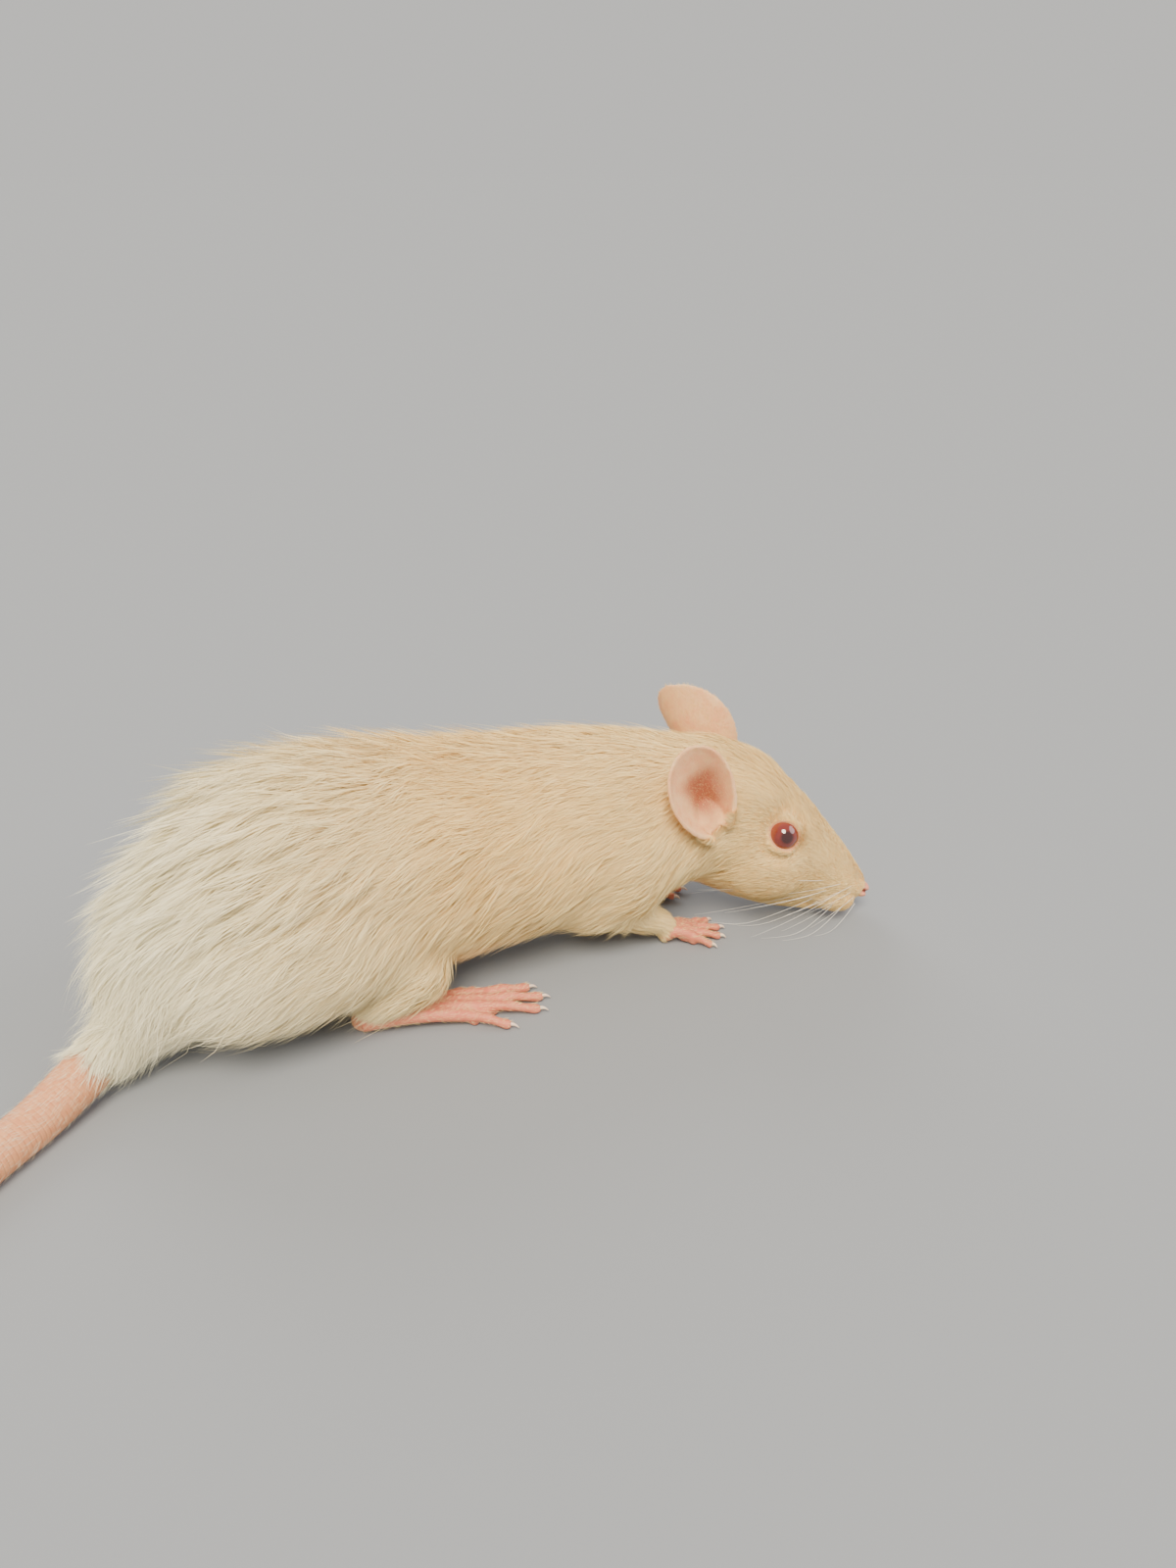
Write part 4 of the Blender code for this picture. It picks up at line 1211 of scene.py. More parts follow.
# A layer's tufts per square millimetre, hairs in a tuft and steps in a hair; a hair's width; factors
# on the coat's length and depth; the spread of roots, how far tips gather, and scatter of direction
# and length.
coatLayers = {
    "under": {
        "perArea": 1.5, "hairs": 3, "steps": 2, "width": 0.42, "length": 0.72, "height": (0.15, 0.5),
        "spread": 0.5, "clump": 0.2, "wild": 0.10, "scatter": 0.16,
    },
    "top": {
        "perArea": 2.9, "hairs": 5, "steps": 2, "width": 0.17, "length": 1.0, "height": (0.5, 1.0),
        "spread": 0.55, "clump": 0.45, "wild": 0.08, "scatter": 0.10,
    },
    "face": {
        "perArea": 17.5, "hairs": 4, "steps": 2, "width": 0.115, "length": 1.0, "height": (0.3, 1.0),
        "spread": 0.32, "clump": 0.3, "wild": 0.07, "scatter": 0.10,
    },
    "legs": {
        "perArea": 5.0, "hairs": 4, "steps": 2, "width": 0.16, "length": 1.0, "height": (0.4, 1.0),
        "spread": 0.4, "clump": 0.4, "wild": 0.08, "scatter": 0.10,
    },
    "guard": {
        "perArea": 3.0, "hairs": 1, "steps": 3, "width": 0.12, "length": 1.5, "height": (0.9, 1.2),
        "spread": 0.2, "clump": 0.0, "wild": 0.16, "scatter": 0.16,
    },
    "locks": {
        "perArea": 0.20, "hairs": 12, "steps": 3, "width": 0.22, "length": 1.2, "height": (1.0, 1.1),
        "spread": 1.0, "clump": 0.95, "wild": 0.12, "scatter": 0.12,
    },
    "fuzz": {
        "hairs": 1, "steps": 2, "width": 0.06, "length": 1.0, "height": (0.6, 1.2),
        "spread": 0.1, "clump": 0.0, "wild": 0.12, "scatter": 0.2,
    },
}


coatWaves = {  # amount, spacing and seed
    "swing": ((0.13, 17, 3), (0.10, 6, 4)),
    "length": ((0.10, 7, 6),),
    "height": ((0.12, 8, 5),),
}


def coatWave(points, kind):
    # soft waves over the coat, so that neighbouring tufts swing, grow and rise together
    return sum(amount * ripple(points, spacing, seed) for amount, spacing, seed in coatWaves[kind])


def grow(name, spots, normals, layer, rng, unwrap, fixed=None, stand=None):
    # each tuft's middle line starts at its spot and steps back along the skin. At a share t of its
    # length it lies above the skin by height * depth * (1 - (1 - t)^curve) + stand * t^standCurve.
    # Its hairs start around the spot and gather towards the line. A hair is a flat blade whose width
    # falls as (1 - t)^taper to a point. fixed gives one length, one depth and a flow for bare parts
    plan = coatLayers[layer]
    steps, hairs = plan["steps"], plan["hairs"]
    count = len(spots)
    if fixed is None:
        length, depth = coatAt(spots)
    else:
        length, depth = (np.full(count, value) for value in fixed[:2])
    swing = coatWave(spots, "swing") + rng.normal(0, plan["wild"], count)
    longer = 1 + coatWave(spots, "length") + rng.normal(0, plan["scatter"], count)
    length = length * plan["length"] * longer
    height = rng.uniform(*plan["height"], count) * (1 + coatWave(spots, "height"))
    place = spots - normals * coatPlan["root"]
    bias = readField(bodyField, spots)[0]
    lines, sideways, upwards = [place], [], []
    for i in range(steps + 1):
        if fixed is None:
            normal = readField(bodyField, place)[1]
            flow = furFlow(place, normal)
        else:
            normal, flow = normals, fixed[2]
        side = np.cross(normal, flow)
        turned = flow * np.cos(swing)[:, None] + side * np.sin(swing)[:, None]
        sideways.append(np.cross(normal, turned))
        upwards.append(normal)
        if i == steps:
            break
        t = (i + 1) / steps
        rise = height * depth * (1 - (1 - t) ** coatPlan["curve"])
        if stand is not None:
            rise = rise + stand * t ** coatPlan["standCurve"]
        ahead = place + turned * (length / steps)[:, None]
        if fixed is None:
            near, outward = readField(bodyField, ahead)
            place = ahead + outward * (rise - near + bias)[:, None]
        else:
            place = spots + turned * (length * t)[:, None] + normal * rise[:, None]
        lines.append(place)
    middle, sideways, upwards = (np.stack(rows, 1) for rows in (lines, sideways, upwards))
    s = np.linspace(0, 1, steps + 1)
    spread = np.minimum(plan["spread"], coatPlan["spreadLimit"] * length)[:, None, None]
    gather = (1 - plan["clump"] * s)[None, :, None]
    strands = []
    for _ in range(hairs):
        offA, offB, yaw = (rng.normal(0, wide, (count, 1, 1)) for wide in coatPlan["hair"])
        own = 1 + rng.normal(0, coatPlan["hairLength"], (count, 1, 1))
        lift = rng.normal(0, coatPlan["hairLift"], (count, 1, 1)) * depth[:, None, None]
        start = middle[:, :1]
        ahead = np.cross(sideways, upwards)
        line = start + (middle - start) * own
        line = line + (sideways * offB * gather - ahead * offA) * spread
        line = line + sideways * (yaw * length[:, None, None] * (s**2)[None, :, None])
        strands.append(line + upwards * lift * s[None, :, None])
    lines = np.stack(strands, 1)  # tuft, hair, step, xyz
    tilt = rng.normal(0, coatPlan["hairTilt"], (count, hairs, 1, 1))
    across = sideways[:, None] * np.cos(tilt) + upwards[:, None] * np.sin(tilt)
    wider = 1 if layer == "fuzz" else coatPlan["wider"]
    half = (plan["width"] * wider * (1 - s[:-1]) ** coatPlan["taper"] / 2)[None, None, :, None]
    edge = across[:, :, :-1] * half
    verts = np.concatenate([lines[:, :, :-1] - edge, lines[:, :, :-1] + edge, lines[:, :, -1:]], axis=2)
    verts[..., 2] = np.clip(verts[..., 2], coatPlan["lowest"], highest)
    per, total = 2 * steps + 1, count * hairs
    base = (np.arange(total) * per)[:, None]
    pattern = np.concatenate([[i, i + steps, i + 1 + steps, i + 1] for i in range(steps - 1)])
    quads = (base + pattern[None]).reshape(-1, 4)
    tris = base + np.array([[steps - 1, 2 * steps - 1, 2 * steps]])
    mesh = meshFrom(name, bend(verts.reshape(-1, 3)), quads, tris, tested=False)
    # every tuft has a small patch at its root's place on the unwrapped skin
    patch = coatPlan["patch"]
    u, v = (0.005 + 0.985 * np.clip(value, 0, 1) for value in unwrap)
    stepU = np.r_[np.zeros(steps), np.ones(steps), 0.5] * patch
    stepV = np.r_[s[:-1], s[:-1], 1.0] * patch
    everyHair = np.ones((1, hairs, 1))
    flat = [(w[:, None, None] + step * everyHair).reshape(-1) for w, step in ((u, stepU), (v, stepV))]
    corners = np.r_[quads.ravel(), tris.ravel()]
    uv = mesh.uv_layers.new(name="OFBake")
    uv.data.foreach_set("uv", np.stack(flat, 1)[corners].astype(np.float32).ravel())
    addValues(mesh, "toTip", np.tile(np.r_[s[:-1], s[:-1], 1.0], total))
    addValues(mesh, "tone", np.repeat(rng.normal(0, 1, total), per))
    print(name, "tufts", count, "triangles", total * (2 * steps - 1))
    return inScene(mesh)


def trunkUnwrap(points):
    # how far along the body, and the angle round its axis
    table = np.array(trunkPlan)
    middle = np.interp(points[:, 0], table[:, 0], table[:, 1])
    angle = np.arctan2(points[:, 2] - middle, points[:, 1])
    x = points[:, 0]
    return angle / (2 * np.pi) + 0.5, (x - x.min()) / max(1e-6, np.ptp(x))


def headUnwrap(points):
    # the angle round the head's axis, and how far behind the nose
    back, side, rise = headAxes(through(unrollHead, points))
    return np.arctan2(rise + 2, side) / (2 * np.pi) + 0.5, (back - back.min()) / max(1e-6, np.ptp(back))


def legUnwrap(points):
    # each leg has its own strip: share down the leg, and the angle round it
    gap = np.linalg.norm(points[:, None] - legRows[None, :, :3], axis=2)
    best = gap.argmin(1)
    arm = points - legRows[best, :3]
    tangent = legRows[best, 4:7]
    side = np.cross(tangent, (0, 0, 1.0))
    side /= np.linalg.norm(side, axis=1, keepdims=True)
    angle = np.arctan2((arm * np.cross(side, tangent)).sum(1), (arm * side).sum(1)) / (2 * np.pi) + 0.5
    downLeg = legRows[best, 7] + (arm * tangent).sum(1) / 12
    return (best // legSamples + 0.04 + 0.92 * angle) / 4, (downLeg + 0.6) / 2.2


coatPieces = {  # each from one place to the next, so that no piece grows too large
    "body": (  # along x
        ("Rump", -200, -56),
        ("Hips", -56, -36),
        ("Loins", -36, -14),
        ("Ribs", -14, 10),
        ("Neck", 10, 200),
    ),
    "face": (  # behind the nose
        ("coatMuzzle", -9, 17),
        ("coatCheeks", 17, 27),
        ("coatBrow", 27, 90),
    ),
}

standing = {  # hairs that stand out: their share and reach along x and up z, and how far they stand
    "guard": {
        "along": ((-76, -40, 0, 36), (1.0, 0.9, 0.5, 0.2)),
        "up": (12, 40, 0.25),  # from, to, and what is left below
        "stand": (0.2, 3.6, 1.4),  # least, range, power of the draw
    },
    "locks": {
        "along": ((-76, -68, -58, -36, -22, 30), (0.4, 0.9, 1.0, 1.0, 0.35, 0.06)),
        "up": (22, 34, 0.0),
        "stand": (3.0, 3.6, 1.0),
    },
}


hairReach = {
    "masks": {"bare": 0.5, "cup": 0.5, "lip": 0.75, "mouth": 0.6},  # no hair above these
    "eye": 3.74,  # least distance from the eye's centre, and height over the ground
    "ground": 0.8,
    "face": 56,  # the face's coat and the legs' begin here
    "leg": 0.35,
}


def makeCoat():
    # under and top coat along the body, then the legs, the face, guard hairs and locks
    rng = np.random.default_rng(11)
    centre = skinPoints[skinTris].mean(1)
    masks = partMasks(centre)
    upright = through(unrollHead, centre)
    haired = (nearEye(upright)[0] > hairReach["eye"]) & (centre[:, 2] > hairReach["ground"])
    for part, limit in hairReach["masks"].items():
        haired &= masks[part] < limit
    isFace = headward(upright) > hairReach["face"]
    isLeg = (limbAt(centre)[0] > hairReach["leg"]) & ~isFace
    isBody = haired & ~isFace & ~isLeg

    def scatter(chosen, layer):
        # a layer's spots on the chosen faces
        return sampleSkin(rng, chosen, coatLayers[layer]["perArea"] * coatPlan["share"])

    pieces = []
    for name, low, high in coatPieces["body"]:
        chosen = isBody & (centre[:, 0] >= low) & (centre[:, 0] < high)
        for layer in ("under", "top"):
            spots, normals = scatter(chosen, layer)
            pieces.append(grow(layer + name, spots, normals, layer, rng, trunkUnwrap(spots)))
    spots, normals = scatter(haired & isLeg, "legs")
    pieces.append(grow("coatLegs", spots, normals, "legs", rng, legUnwrap(spots)))
    back = headAxes(upright)[0]
    for name, low, high in coatPieces["face"]:
        spots, normals = scatter(haired & isFace & (back >= low) & (back < high), "face")
        pieces.append(grow(name, spots, normals, "face", rng, headUnwrap(spots)))
    # long guard hairs over the rump and back, and pointed locks that stand out over the rump's top
    for layer, name in (("guard", "coatGuard"), ("locks", "coatLocks")):
        plan = standing[layer]
        spots, normals = scatter(isBody, layer)
        low, high, least = plan["up"]
        reach = np.interp(spots[:, 0], *plan["along"]) * (least + (1 - least) * ease(spots[:, 2], low, high))
        keep = rng.uniform(size=len(spots)) < reach
        spots, normals, reach = spots[keep], normals[keep], reach[keep]
        least, extent, power = plan["stand"]
        stand = (least + extent * rng.uniform(size=len(spots)) ** power) * reach
        if layer == "locks":
            room = (highest - 1.0 - spots[:, 2]) / np.clip(normals[:, 2], 0.3, 1.0)
            stand = np.minimum(stand, np.clip(room - 1.3 * coatAt(spots)[1], 0.0, None))
        pieces.append(grow(name, spots, normals, layer, rng, trunkUnwrap(spots), stand=stand))
    return pieces


fuzzPlan = {  # length and depth of the down, tufts per square millimetre, lowest height
    "ear": (0.75, 0.18, 8.0, 0.5),
    "foot": (1.0, 0.22, 5.0, 1.2),
    "tail": (1.5, 0.4, 2.6, 0.5),
}


def makeFuzz():
    # fine short hairs on ears, feet and tail, which lie to the ear's tip, the toes and the tail's tip
    rng = np.random.default_rng(23)
    centre = skinPoints[skinTris].mean(1)
    masks = partMasks(centre)
    pieces = []
    for part, (length, depth, perArea, lowest) in fuzzPlan.items():
        chosen = (masks[part] > 0.5) & (centre[:, 2] > lowest)
        spots, normals = sampleSkin(rng, chosen, perArea * coatPlan["share"])
        if part == "ear":
            flow = np.zeros_like(spots)
            for word, sign in sides.items():
                toTip = (rollHead @ earTurn(word))[:3, 2]
                flow = np.where((spots[:, 1] * sign > 0)[:, None], toTip, flow)
            place = through(unrollHead, spots)
            unwrap = (place[:, 2] / 60 + 0.1, place[:, 1] / 60 + 0.5)
        elif part == "foot":
            flow = np.tile([1.0, 0, -0.1], (len(spots), 1))
            unwrap = ((spots[:, 0] + 50) / 110, (spots[:, 1] + 30) / 60)
        else:
            best = np.linalg.norm(spots[:, None] - tailStraight[None, ::2], axis=2).argmin(1)
            flow = pathFrames(tailStraight[::2])[0][best]
            mapped = tailMap(spots)
            unwrap = (mapped[:, 1] / 19 + 0.5, mapped[:, 0] / 165)
        flow = flow - normals * (flow * normals).sum(1, keepdims=True)
        flow /= np.linalg.norm(flow, axis=1, keepdims=True) + 1e-9
        pieces.append(grow(part + "Fuzz", spots, normals, "fuzz", rng, unwrap, (length, depth, flow)))
    return pieces


coat = makeCoat() + makeFuzz()


def dropFolds(mesh):
    # thinning can leave two faces folded onto each other: both go, with the points that they used
    mesh.validate()
    bm = bmesh.new()
    bm.from_mesh(mesh)
    lone = [face for face in bm.faces if all(edge.is_boundary for edge in face.edges)]
    bmesh.ops.delete(bm, geom=lone, context="FACES")
    bm.to_mesh(mesh)
    bm.free()
    print("folds dropped", len(lone), "faces kept", len(mesh.polygons))


# the masks and two maps that the skin's finish reads, taken before the skin is bent into place
for key in ("bare", "ear", "conchaShade", "foot", "tail", "nose", "nostril", "mouth", "lip", "rim"):
    addValues(skin.data, key, skinMasks[key])
addValues(skin.data, "tailMap", tailMap(skinPoints))
bodyGirth = 138
lieMap = np.stack([skinPoints[:, 0], trunkUnwrap(skinPoints)[0] * bodyGirth, skinPoints[:, 2]], 1)
addValues(skin.data, "lie", lieMap)
putPoints(skin.data, bend(skinPoints))
dropFolds(skin.data)


eyeBall = {"inset": 0.12, "bulge": 0.05, "bulgeWidth": 0.7, "rows": 36, "columns": 48}


def fixOutside(mesh):
    # turns every face outwards
    bm = bmesh.new()
    bm.from_mesh(mesh)
    bmesh.ops.recalc_face_normals(bm, faces=bm.faces[:])
    bm.to_mesh(mesh)
    bm.free()
    mesh.shade_smooth()


def makeEye(word):
    # a ball about the gaze with a cornea: the radius grows by bulge * exp(-(u / width)^2), where u
    # is the angle from the gaze, which is kept as fromPupil
    side = sides[word]
    gaze = np.array(eyePlan["gaze"]) * (1, side, 1)
    gaze /= np.linalg.norm(gaze)
    across = np.cross(gaze, (0, 0, 1.0))
    across /= np.linalg.norm(across)
    up = np.cross(across, gaze)
    columns = eyeBall["columns"]
    u, ahead, aside, above = ballGrid(eyeBall["rows"], columns, 0.03)
    cornea = (1 + eyeBall["bulge"] * bell(u, eyeBall["bulgeWidth"]))[..., None]
    ball = ahead[..., None] * gaze * cornea + aside[..., None] * across + above[..., None] * up
    points, quads, tris = gridShell(ball * (eyePlan["radius"] - eyeBall["inset"]) + eyeCentre(side))
    mesh = meshFrom(f"eyeball_{word}", bend(through(rollHead, points)), quads[:, ::-1], tris[:, ::-1])
    addValues(mesh, "fromPupil", np.append(np.repeat(u[:, 0], columns), [0.0, np.pi]))
    fixOutside(mesh)
    return inScene(mesh)


clawPlan = {
    "size": {"forepaw": 1.15, "hindfoot": 1.6},
    "radii": ((-0.25, 0.2, 0.7, 1.0), (0.38, 0.33, 0.19, 0.05)),  # by the share of its length
    "root": 0.25,  # height of the root over the toe's end
    "hook": (0.25, 0.95),  # first rise, then fall with the share's square
    "lowest": 0.12,
}


def makeClaws():
    # a small hook ahead of each toe: at a share t of its length it has risen by rise * t - fall * t^2,
    # and its radius falls to a point
    shells = []
    t = np.linspace(-0.25, 1, 9)[:, None]
    radii = np.interp(t[:, 0], *clawPlan["radii"])
    rise, fall = clawPlan["hook"]
    for kind, size in clawPlan["size"].items():
        for word in sides:
            for digit in footPlan[kind]["digits"]:
                path = digitPath(kind, word, digit)[0]
                way = path[-1] - path[-4]
                way[2] = 0
                way /= np.linalg.norm(way)
                upward = np.array([0, 0, 1.0]) * (rise * t - fall * t**2)
                hook = path[-1] + (0, 0, clawPlan["root"]) + way * size * t + upward
                hook[:, 2] = np.maximum(hook[:, 2], clawPlan["lowest"])
                shells.append(tube(through(footStart(kind, word), hook), radii, 8))
    points, quads, tris = joined(shells)
    mesh = meshFrom("claws", bend(points), quads, tris)
    fixOutside(mesh)
    return inScene(mesh)


whiskerPlan = {
    "rows": 4,
    "columns": 5,
    "root": (73.6, 3.7, 9.6),  # of the first on the left, and the steps to the next row and column
    "nextRow": (0.3, 0.0, -1.35),
    "nextColumn": (-1.7, 0.35, 0.7),
    "radii": (0.055, 0.015),
    "length": (13, 4.6),  # of the first in a row, and how much longer each next one is
    "swing": (38, 9),  # from sideways to backwards, in degrees
    "fall": (18, 13),  # the top row's rise, and how much each next row has less
    "droop": 2.4,
    "lowest": 0.25,
}


def makeWhiskers():
    # fine tapering hairs in rows on each pad: the direction turns back by half a radian along a
    # hair, its height falls by droop * t^2, and a softened limit lets it rest on the ground
    rng = np.random.default_rng(5)
    shells = []
    t = np.linspace(0, 1, 12)[:, None]
    lowest = whiskerPlan["lowest"]
    start, nextRow, nextColumn = (np.array(whiskerPlan[key]) for key in ("root", "nextRow", "nextColumn"))
    for side in sides.values():
        for row, col in itertools.product(range(whiskerPlan["rows"]), range(whiskerPlan["columns"])):
            root = start + nextRow * row + nextColumn * col
            first, more = whiskerPlan["length"]
            length = first + more * col + rng.uniform(-1.5, 1.5)
            first, more = whiskerPlan["swing"]
            turn = math.radians(first + more * col + rng.uniform(-5, 5)) + 0.5 * t
            first, less = whiskerPlan["fall"]
            rise = math.tan(math.radians(first - less * row + rng.uniform(-4, 4)))
            way = np.concatenate([-np.sin(turn) * 0.9, np.cos(turn), np.full_like(t, rise)], 1)
            droop = np.array([0, 0, whiskerPlan["droop"]]) * t**2
            path = root + np.cumsum(way * length / 12, axis=0) - (0, 0.6, 0) - droop
            path[:, 1] *= side
            path = through(rollHead, path)
            path[:, 2] = lowest + np.logaddexp(0, (path[:, 2] - lowest) * 1.5) / 1.5
            shells.append(tube(path, np.interp(t[:, 0], (0, 1), whiskerPlan["radii"]), 4))
    points, quads, tris = joined(shells)
    mesh = meshFrom("whiskers", bend(points), quads, tris)
    fixOutside(mesh)
    return inScene(mesh)


eyes = [makeEye(word) for word in sides]
claws = makeClaws()
whiskers = makeWhiskers()
print("eyes, claws and whiskers made")


def isSocket(value):
    # a node's output, as against a number or a colour
    return hasattr(value, "is_output")


class Nodes:
    # short calls for wiring one material or group
    def __init__(self, tree):
        self.tree = tree

    def add(self, kind, **settings):
        node = self.tree.nodes.new(kind)
        for key, value in settings.items():
            setattr(node, key, value)
        return node

    def link(self, source, target):
        self.tree.links.new(source, target)

    def feed(self, socket, value):
        # a socket is linked, a number or colour is set
        if isSocket(value):
            self.link(value, socket)
        elif isinstance(value, tuple):
            socket.default_value = (*value, 1.0)
        else:
            socket.default_value = value

    def math(self, operation, a, b=0.0):
        node = self.add("ShaderNodeMath", operation=operation)
        for socket, value in zip(node.inputs, (a, b)):
            self.feed(socket, value)
        return node.outputs[0]

    def mix(self, factor, a, b, mode="MIX"):
        node = self.add("ShaderNodeMix", data_type="RGBA", blend_type=mode)
        for index, value in ((0, factor), (6, a), (7, b)):
            self.feed(node.inputs[index], value)
        return node.outputs[2]

    def attribute(self, name, output="Fac"):
        return self.add("ShaderNodeAttribute", attribute_name=name).outputs[output]

    def place(self):
        return self.add("ShaderNodeTexCoord").outputs["Object"]

    def split(self, vector):
        node = self.add("ShaderNodeSeparateXYZ")
        self.link(vector, node.inputs[0])
        return node.outputs

    def noise(self, vector, scale, detail=3.0, rough=0.5):
        node = self.add("ShaderNodeTexNoise")
        for name, value in (("Vector", vector), ("Scale", scale), ("Detail", detail), ("Roughness", rough)):
            self.feed(node.inputs[name], value)
        return node.outputs["Fac"]

    def range(self, value, low, high, to0=0.0, to1=1.0):
        node = self.add("ShaderNodeMapRange")
        for index, number in enumerate((value, low, high, to0, to1)):
            self.feed(node.inputs[index], number)
        return node.outputs[0]

    def group(self, tree, **values):
        node = self.add("ShaderNodeGroup")
        node.node_tree = tree
        for name, value in values.items():
            self.feed(node.inputs[name], value)
        return node.outputs


def newMaterial(name, **values):
    # a Principled shader with its own sockets set, and short calls for its nodes
    material = bpy.data.materials.new(name)
    material.use_nodes = True
    shader = material.node_tree.nodes["Principled BSDF"]
    for socket, value in values.items():
        shader.inputs[socket.replace("_", " ")].default_value = value
    return material, Nodes(material.node_tree), shader


coatColours = {
    "cream": (0.96, 0.73, 0.32),
    "gold": (0.95, 0.64, 0.20),
    "paintedSkyLight": (0.91, 0.88, 0.67),
    # painted bluish sky light on the rump: a whiter copy of the cream
    "fleck": (1.0, 0.94, 0.72),
    "tip": (1.0, 0.95, 0.78),
    "root": (0.97, 0.87, 0.76),  # these two multiply the coat's own colour
    "under": (0.97, 0.84, 0.72),
    "goldShare": 0.75,
}

coatPattern = {"broad": 30.0, "fine": 260.0}  # scales of the noise

coatReach = {  # in metres along x and up z
    "rump": (0.050, 0.000),  # the painted bluish sky light comes in from the first to the second
    "flank": (0.056, 0.048),  # middle and half length of the golden flank
    "high": (0.006, 0.028),  # the belly stays cream
    "head": (0.088, 0.112),
}


def coatToneGroup():
    # cream fur, golden over the flank and the head, whiter towards the belly, and a painted bluish sky light
    # that makes the rump whiter
    group = bpy.data.node_groups.new("coatTone", "ShaderNodeTree")
    group.interface.new_socket("Position", in_out="INPUT", socket_type="NodeSocketVector")
    group.interface.new_socket("Gold", in_out="INPUT", socket_type="NodeSocketFloat")
    group.interface.new_socket("Colour", in_out="OUTPUT", socket_type="NodeSocketColor")
    n = Nodes(group)
    inside = n.add("NodeGroupInput")
    outside = n.add("NodeGroupOutput")
    place = n.split(inside.outputs["Position"])
    broad = n.range(n.noise(inside.outputs["Position"], coatPattern["broad"], 2.0), 0.35, 0.65, 0.65, 1.0)
    fine = n.noise(inside.outputs["Position"], coatPattern["fine"], 3.0)
    rump = n.range(place["X"], *coatReach["rump"])
    high = n.range(place["Z"], *coatReach["high"])
    middle, halfLength = coatReach["flank"]
    fromFlank = n.math("ABSOLUTE", n.math("SUBTRACT", place["X"], middle))
    flank = n.math("MULTIPLY", n.range(fromFlank, 0.0, halfLength, 1.0, 0.25), high)
    head = n.range(place["X"], *coatReach["head"], 0.0, 0.85)
    amount = n.math("MULTIPLY", n.math("MAXIMUM", flank, head), broad)
    amount = n.math("MULTIPLY", amount, inside.outputs["Gold"])
    colour = n.mix(amount, coatColours["cream"], coatColours["gold"])
    # painted bluish sky light over the rump
    colour = n.mix(n.math("MULTIPLY", rump, 0.85), colour, coatColours["paintedSkyLight"])
    colour = n.mix(n.range(fine, 0.3, 0.7, 0.0, 0.10), colour, coatColours["fleck"])
    n.link(colour, outside.inputs["Colour"])
    return group


coatTone = coatToneGroup()


def furMaterial():
    # each hair is a little darker at its root, and each has a slightly different tone
    material, n, shader = newMaterial(
        "fur", Roughness=0.62, Specular_IOR_Level=0.25, Sheen_Weight=0.08, Sheen_Roughness=0.5
    )
    tone = n.group(coatTone, Position=n.place(), Gold=coatColours["goldShare"])["Colour"]
    root = n.mix(1.0, tone, coatColours["root"], "MULTIPLY")
    colour = n.mix(n.range(n.attribute("toTip"), 0.0, 0.55), root, tone)
    own = n.range(n.attribute("tone"), -2.0, 2.0, 0.0, 0.16)
    n.link(n.mix(own, colour, coatColours["tip"]), shader.inputs["Base Color"])
    return material


skinLayers = (  # laid on in this order: a part's mask, its strength, and one tone or two mixed
    ("foot", 1.0, (0.64, 0.17, 0.10), (0.72, 0.245, 0.15)),
    ("ear", 1.0, (0.90, 0.55, 0.29), (0.86, 0.44, 0.23)),
    # the ear's hollow: pinker skin with painted shade
    ("conchaShade", 0.92, (0.38, 0.085, 0.04)),
    ("tail", 1.0, (0.68, 0.265, 0.12), (0.75, 0.35, 0.165)),
    ("lip", 0.8, (0.70, 0.27, 0.17)),
    ("nose", 1.0, (0.76, 0.30, 0.20)),
    ("rim", 0.85, (0.60, 0.25, 0.17)),
    # along the mouth: pinker skin with painted shade in its crease
    ("mouth", 0.7, (0.55, 0.17, 0.12)),
    # painted shade inside the nostrils
    ("nostril", 0.9, (0.22, 0.045, 0.03)),
)

skinPattern = {"mottle": 900.0, "veins": 330.0, "streaks": 1.4, "grain": 2600.0}

skinRelief = {
    "lie": (0.22, 2.4, 1.0),  # stretches the streaks of short hair along the body
    "rings": 0.9,  # spacing of the tail's rings, in millimetres
    "ringDepth": -6.0,
    "grain": 0.35,
    "strength": 0.5,
    "distance": 0.00025,
}


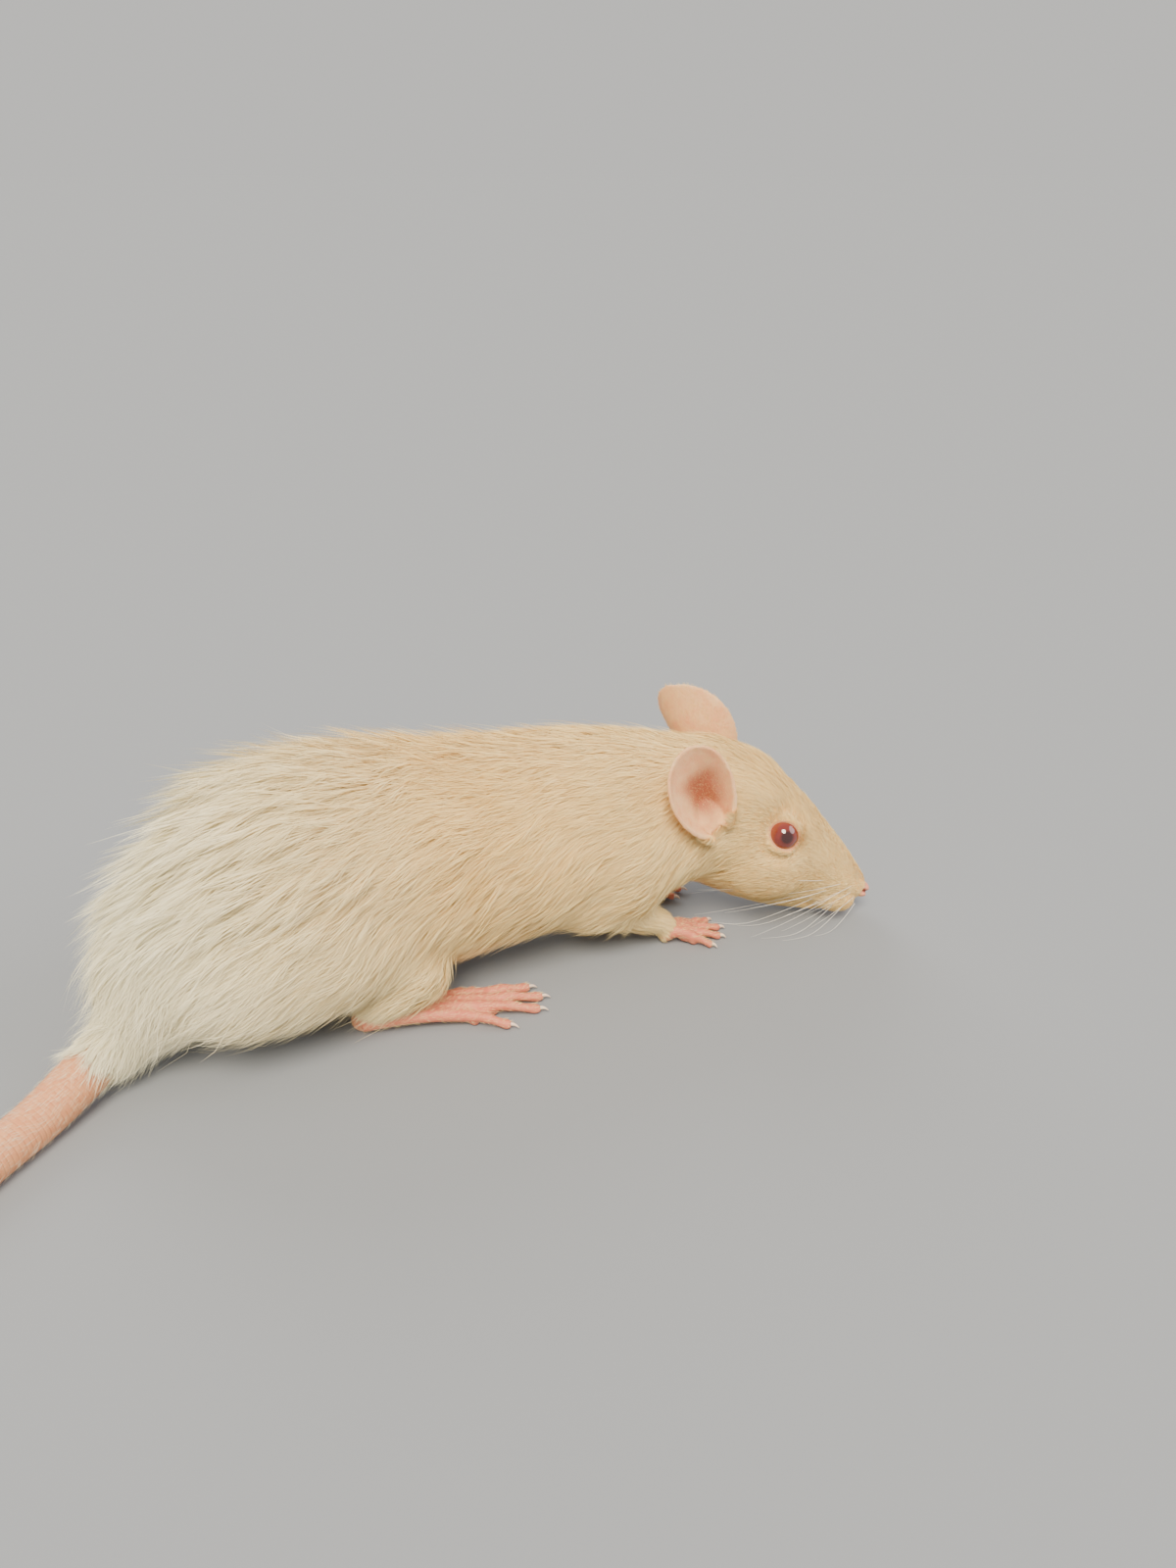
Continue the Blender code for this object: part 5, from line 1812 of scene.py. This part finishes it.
def skinMaterial():
    # the coat's tone under the fur, and the bare parts' tones laid over it by their masks
    material, n, shader = newMaterial(
        "skin",
        Subsurface_Weight=0.16,
        Subsurface_Radius=(0.9, 0.42, 0.28),
        Subsurface_Scale=0.0016,
        Specular_IOR_Level=0.38,
    )
    place = n.place()
    tone = n.group(coatTone, Position=place, Gold=coatColours["goldShare"])["Colour"]
    colour = n.mix(1.0, tone, coatColours["under"], "MULTIPLY")
    mottle = n.range(n.noise(place, skinPattern["mottle"], 4.0), 0.3, 0.7)
    veins = n.range(n.noise(place, skinPattern["veins"], 5.0, 0.6), 0.42, 0.62)
    for part, strength, *tones in skinLayers:
        mask = n.attribute(part)
        if strength < 1.0:
            mask = n.math("MULTIPLY", mask, strength)
        over = n.mix(veins if part == "ear" else mottle, *tones) if len(tones) == 2 else tones[0]
        colour = n.mix(mask, colour, over)
    n.link(colour, shader.inputs["Base Color"])
    n.link(n.range(n.attribute("bare"), 0.0, 1.0, 0.8, 0.48), shader.inputs["Roughness"])
    # relief: streaks of flat hair along the lie, rings of small scales on the tail, and fine grain
    lie = n.add("ShaderNodeMapping")
    lie.inputs["Scale"].default_value = skinRelief["lie"]
    n.link(n.attribute("lie", "Vector"), lie.inputs["Vector"])
    streaks = n.noise(lie.outputs[0], skinPattern["streaks"], 3.0)
    downTail = n.split(n.attribute("tailMap", "Vector"))["X"]
    ring = n.math("FRACT", n.math("DIVIDE", downTail, skinRelief["rings"]))
    ring = n.math("POWER", n.math("ABSOLUTE", n.math("SUBTRACT", ring, 0.5)), 3.0)
    ring = n.math("MULTIPLY", ring, skinRelief["ringDepth"])
    height = n.math("MULTIPLY", streaks, n.math("SUBTRACT", 1.0, n.attribute("bare")))
    height = n.math("ADD", height, n.math("MULTIPLY", ring, n.attribute("tail")))
    grain = n.math("MULTIPLY", n.noise(place, skinPattern["grain"], 3.0), skinRelief["grain"])
    bump = n.add("ShaderNodeBump")
    bump.inputs["Strength"].default_value = skinRelief["strength"]
    bump.inputs["Distance"].default_value = skinRelief["distance"]
    n.link(n.math("ADD", height, grain), bump.inputs["Height"])
    n.link(bump.outputs[0], shader.inputs["Normal"])
    return material


eyeColours = {"pupil": (0.035, 0.003, 0.003), "iris": (0.18, 0.019, 0.012), "edge": (0.32, 0.058, 0.034)}


def eyeMaterial():
    # ruby that goes from pupil to edge with the angle from the gaze, under a wet coat
    material, n, shader = newMaterial(
        "eyeRuby", Roughness=0.06, Specular_IOR_Level=0.6, Coat_Weight=1.0, Coat_Roughness=0.02
    )
    far = n.attribute("fromPupil")
    colour = n.mix(n.range(far, 0.30, 0.5), eyeColours["pupil"], eyeColours["iris"])
    colour = n.mix(n.range(far, 0.7, 1.25), colour, eyeColours["edge"])
    n.link(colour, shader.inputs["Base Color"])
    return material


hornPlan = {  # scale of the pattern and its two tones
    "claw": (1500.0, (0.78, 0.56, 0.42), (0.88, 0.74, 0.60)),
    "whisker": (400.0, (0.84, 0.80, 0.74), (0.93, 0.90, 0.86)),
}


def hornMaterial(name, **values):
    # two pale tones in a fine pattern
    material, n, shader = newMaterial(name, **values)
    scale, darker, paler = hornPlan[name]
    n.link(n.mix(n.noise(n.place(), scale), darker, paler), shader.inputs["Base Color"])
    return material


fur = furMaterial()
skin.data.materials.clear()
skin.data.materials.append(skinMaterial())
for piece in coat:
    piece.data.materials.append(fur)
eyeFinish = eyeMaterial()
for eye in eyes:
    eye.data.materials.append(eyeFinish)
clawFinish = hornMaterial("claw", Roughness=0.32, Subsurface_Weight=0.2, Subsurface_Scale=0.0006)
claws.data.materials.append(clawFinish)
whiskers.data.materials.append(hornMaterial("whisker", Roughness=0.35))
print("finishes made")


cameraPlan = {"place": (-58.1, -188.4, 141.3), "turn": 22.0, "down": 28.0, "lens": 27.0, "sensor": 36.0}


def makeCamera():
    # looks along +y turned to the right by turn and down by down, both in degrees
    data = bpy.data.cameras.new("camera")
    data.sensor_fit = "VERTICAL"
    data.sensor_height = cameraPlan["sensor"]
    data.lens = cameraPlan["lens"]
    data.clip_start = 0.005
    camera = inScene(data)
    turn, down = math.radians(cameraPlan["turn"]), math.radians(cameraPlan["down"])
    look = Vector((math.sin(turn) * math.cos(down), math.cos(turn) * math.cos(down), -math.sin(down)))
    camera.location = Vector(np.array(cameraPlan["place"]) * 0.001 + placeShift)
    camera.rotation_euler = look.to_track_quat("-Z", "Y").to_euler()
    bpy.context.scene.camera = camera


floorPlan = {"radii": (0.002, 0.5, 12.0), "height": -0.00002, "colour": (0.277, 0.289, 0.314, 1.0)}


def makeFloor():
    # rings of points at cos a, sin a times each radius make a wide disc a hair below the soles
    a = np.linspace(0, 2 * np.pi, 96, endpoint=False)
    ring = np.stack([np.cos(a), np.sin(a), 0 * a], 1)
    rings = np.stack([ring * r + (0, 0, floorPlan["height"]) for r in floorPlan["radii"]])
    points, quads, tris = gridShell(rings, capEnd=False)
    floor = inScene(meshFrom("floor", points, quads[:, ::-1], tris[:, ::-1]))
    material, _, shader = newMaterial("paleFloor", Roughness=0.9, Specular_IOR_Level=0.0)
    shader.inputs["Base Color"].default_value = floorPlan["colour"]
    floor.data.materials.append(material)


lamps = {  # where each stands, its spread in degrees, strength and colour
    "keyLight": ((-0.33, -0.70, 1.02), 28.0, 5.3, (1.0, 0.905, 0.72)),
    "fillLight": ((0.82, -0.35, 0.52), 42.0, 1.35, (0.95, 0.97, 1.0)),
    "rimLight": ((-0.13, 0.85, 0.57), 33.0, 1.5, (1.0, 0.98, 0.95)),
}

surroundings = {"Color": (0.92, 0.905, 0.87, 1.0), "Strength": 0.75}


def makeLights():
    # wide soft lamps so far off that they light the whole floor evenly, and a pale world
    for name, (place, spread, strength, colour) in lamps.items():
        data = bpy.data.lights.new(name, "SUN")
        data.angle = math.radians(spread)
        data.energy = strength
        data.color = colour
        light = inScene(data)
        light.location = place
        light.rotation_euler = (-Vector(place)).to_track_quat("-Z", "Y").to_euler()
    world = bpy.data.worlds.new("studio")
    bpy.context.scene.world = world
    world.use_nodes = True
    for socket, value in surroundings.items():
        world.node_tree.nodes["Background"].inputs[socket].default_value = value


makeCamera()
makeFloor()
makeLights()
print("floor, camera and lights set")

# the skin stands for every node of flesh and each eyeball for its eye; the coat, claws and
# whiskers are added to them

fleshNodes = [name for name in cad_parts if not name.startswith("eye")]
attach(skin, "root")
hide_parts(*fleshNodes)
for piece in coat:
    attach(piece, "root")
for eye, word in zip(eyes, sides):
    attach(eye, "root")
    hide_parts(f"eye_{word}")
for piece in (claws, whiskers):
    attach(piece, "root")

print("solid box", [[round(float(v), 4) for v in corner] for corner in solidBox])
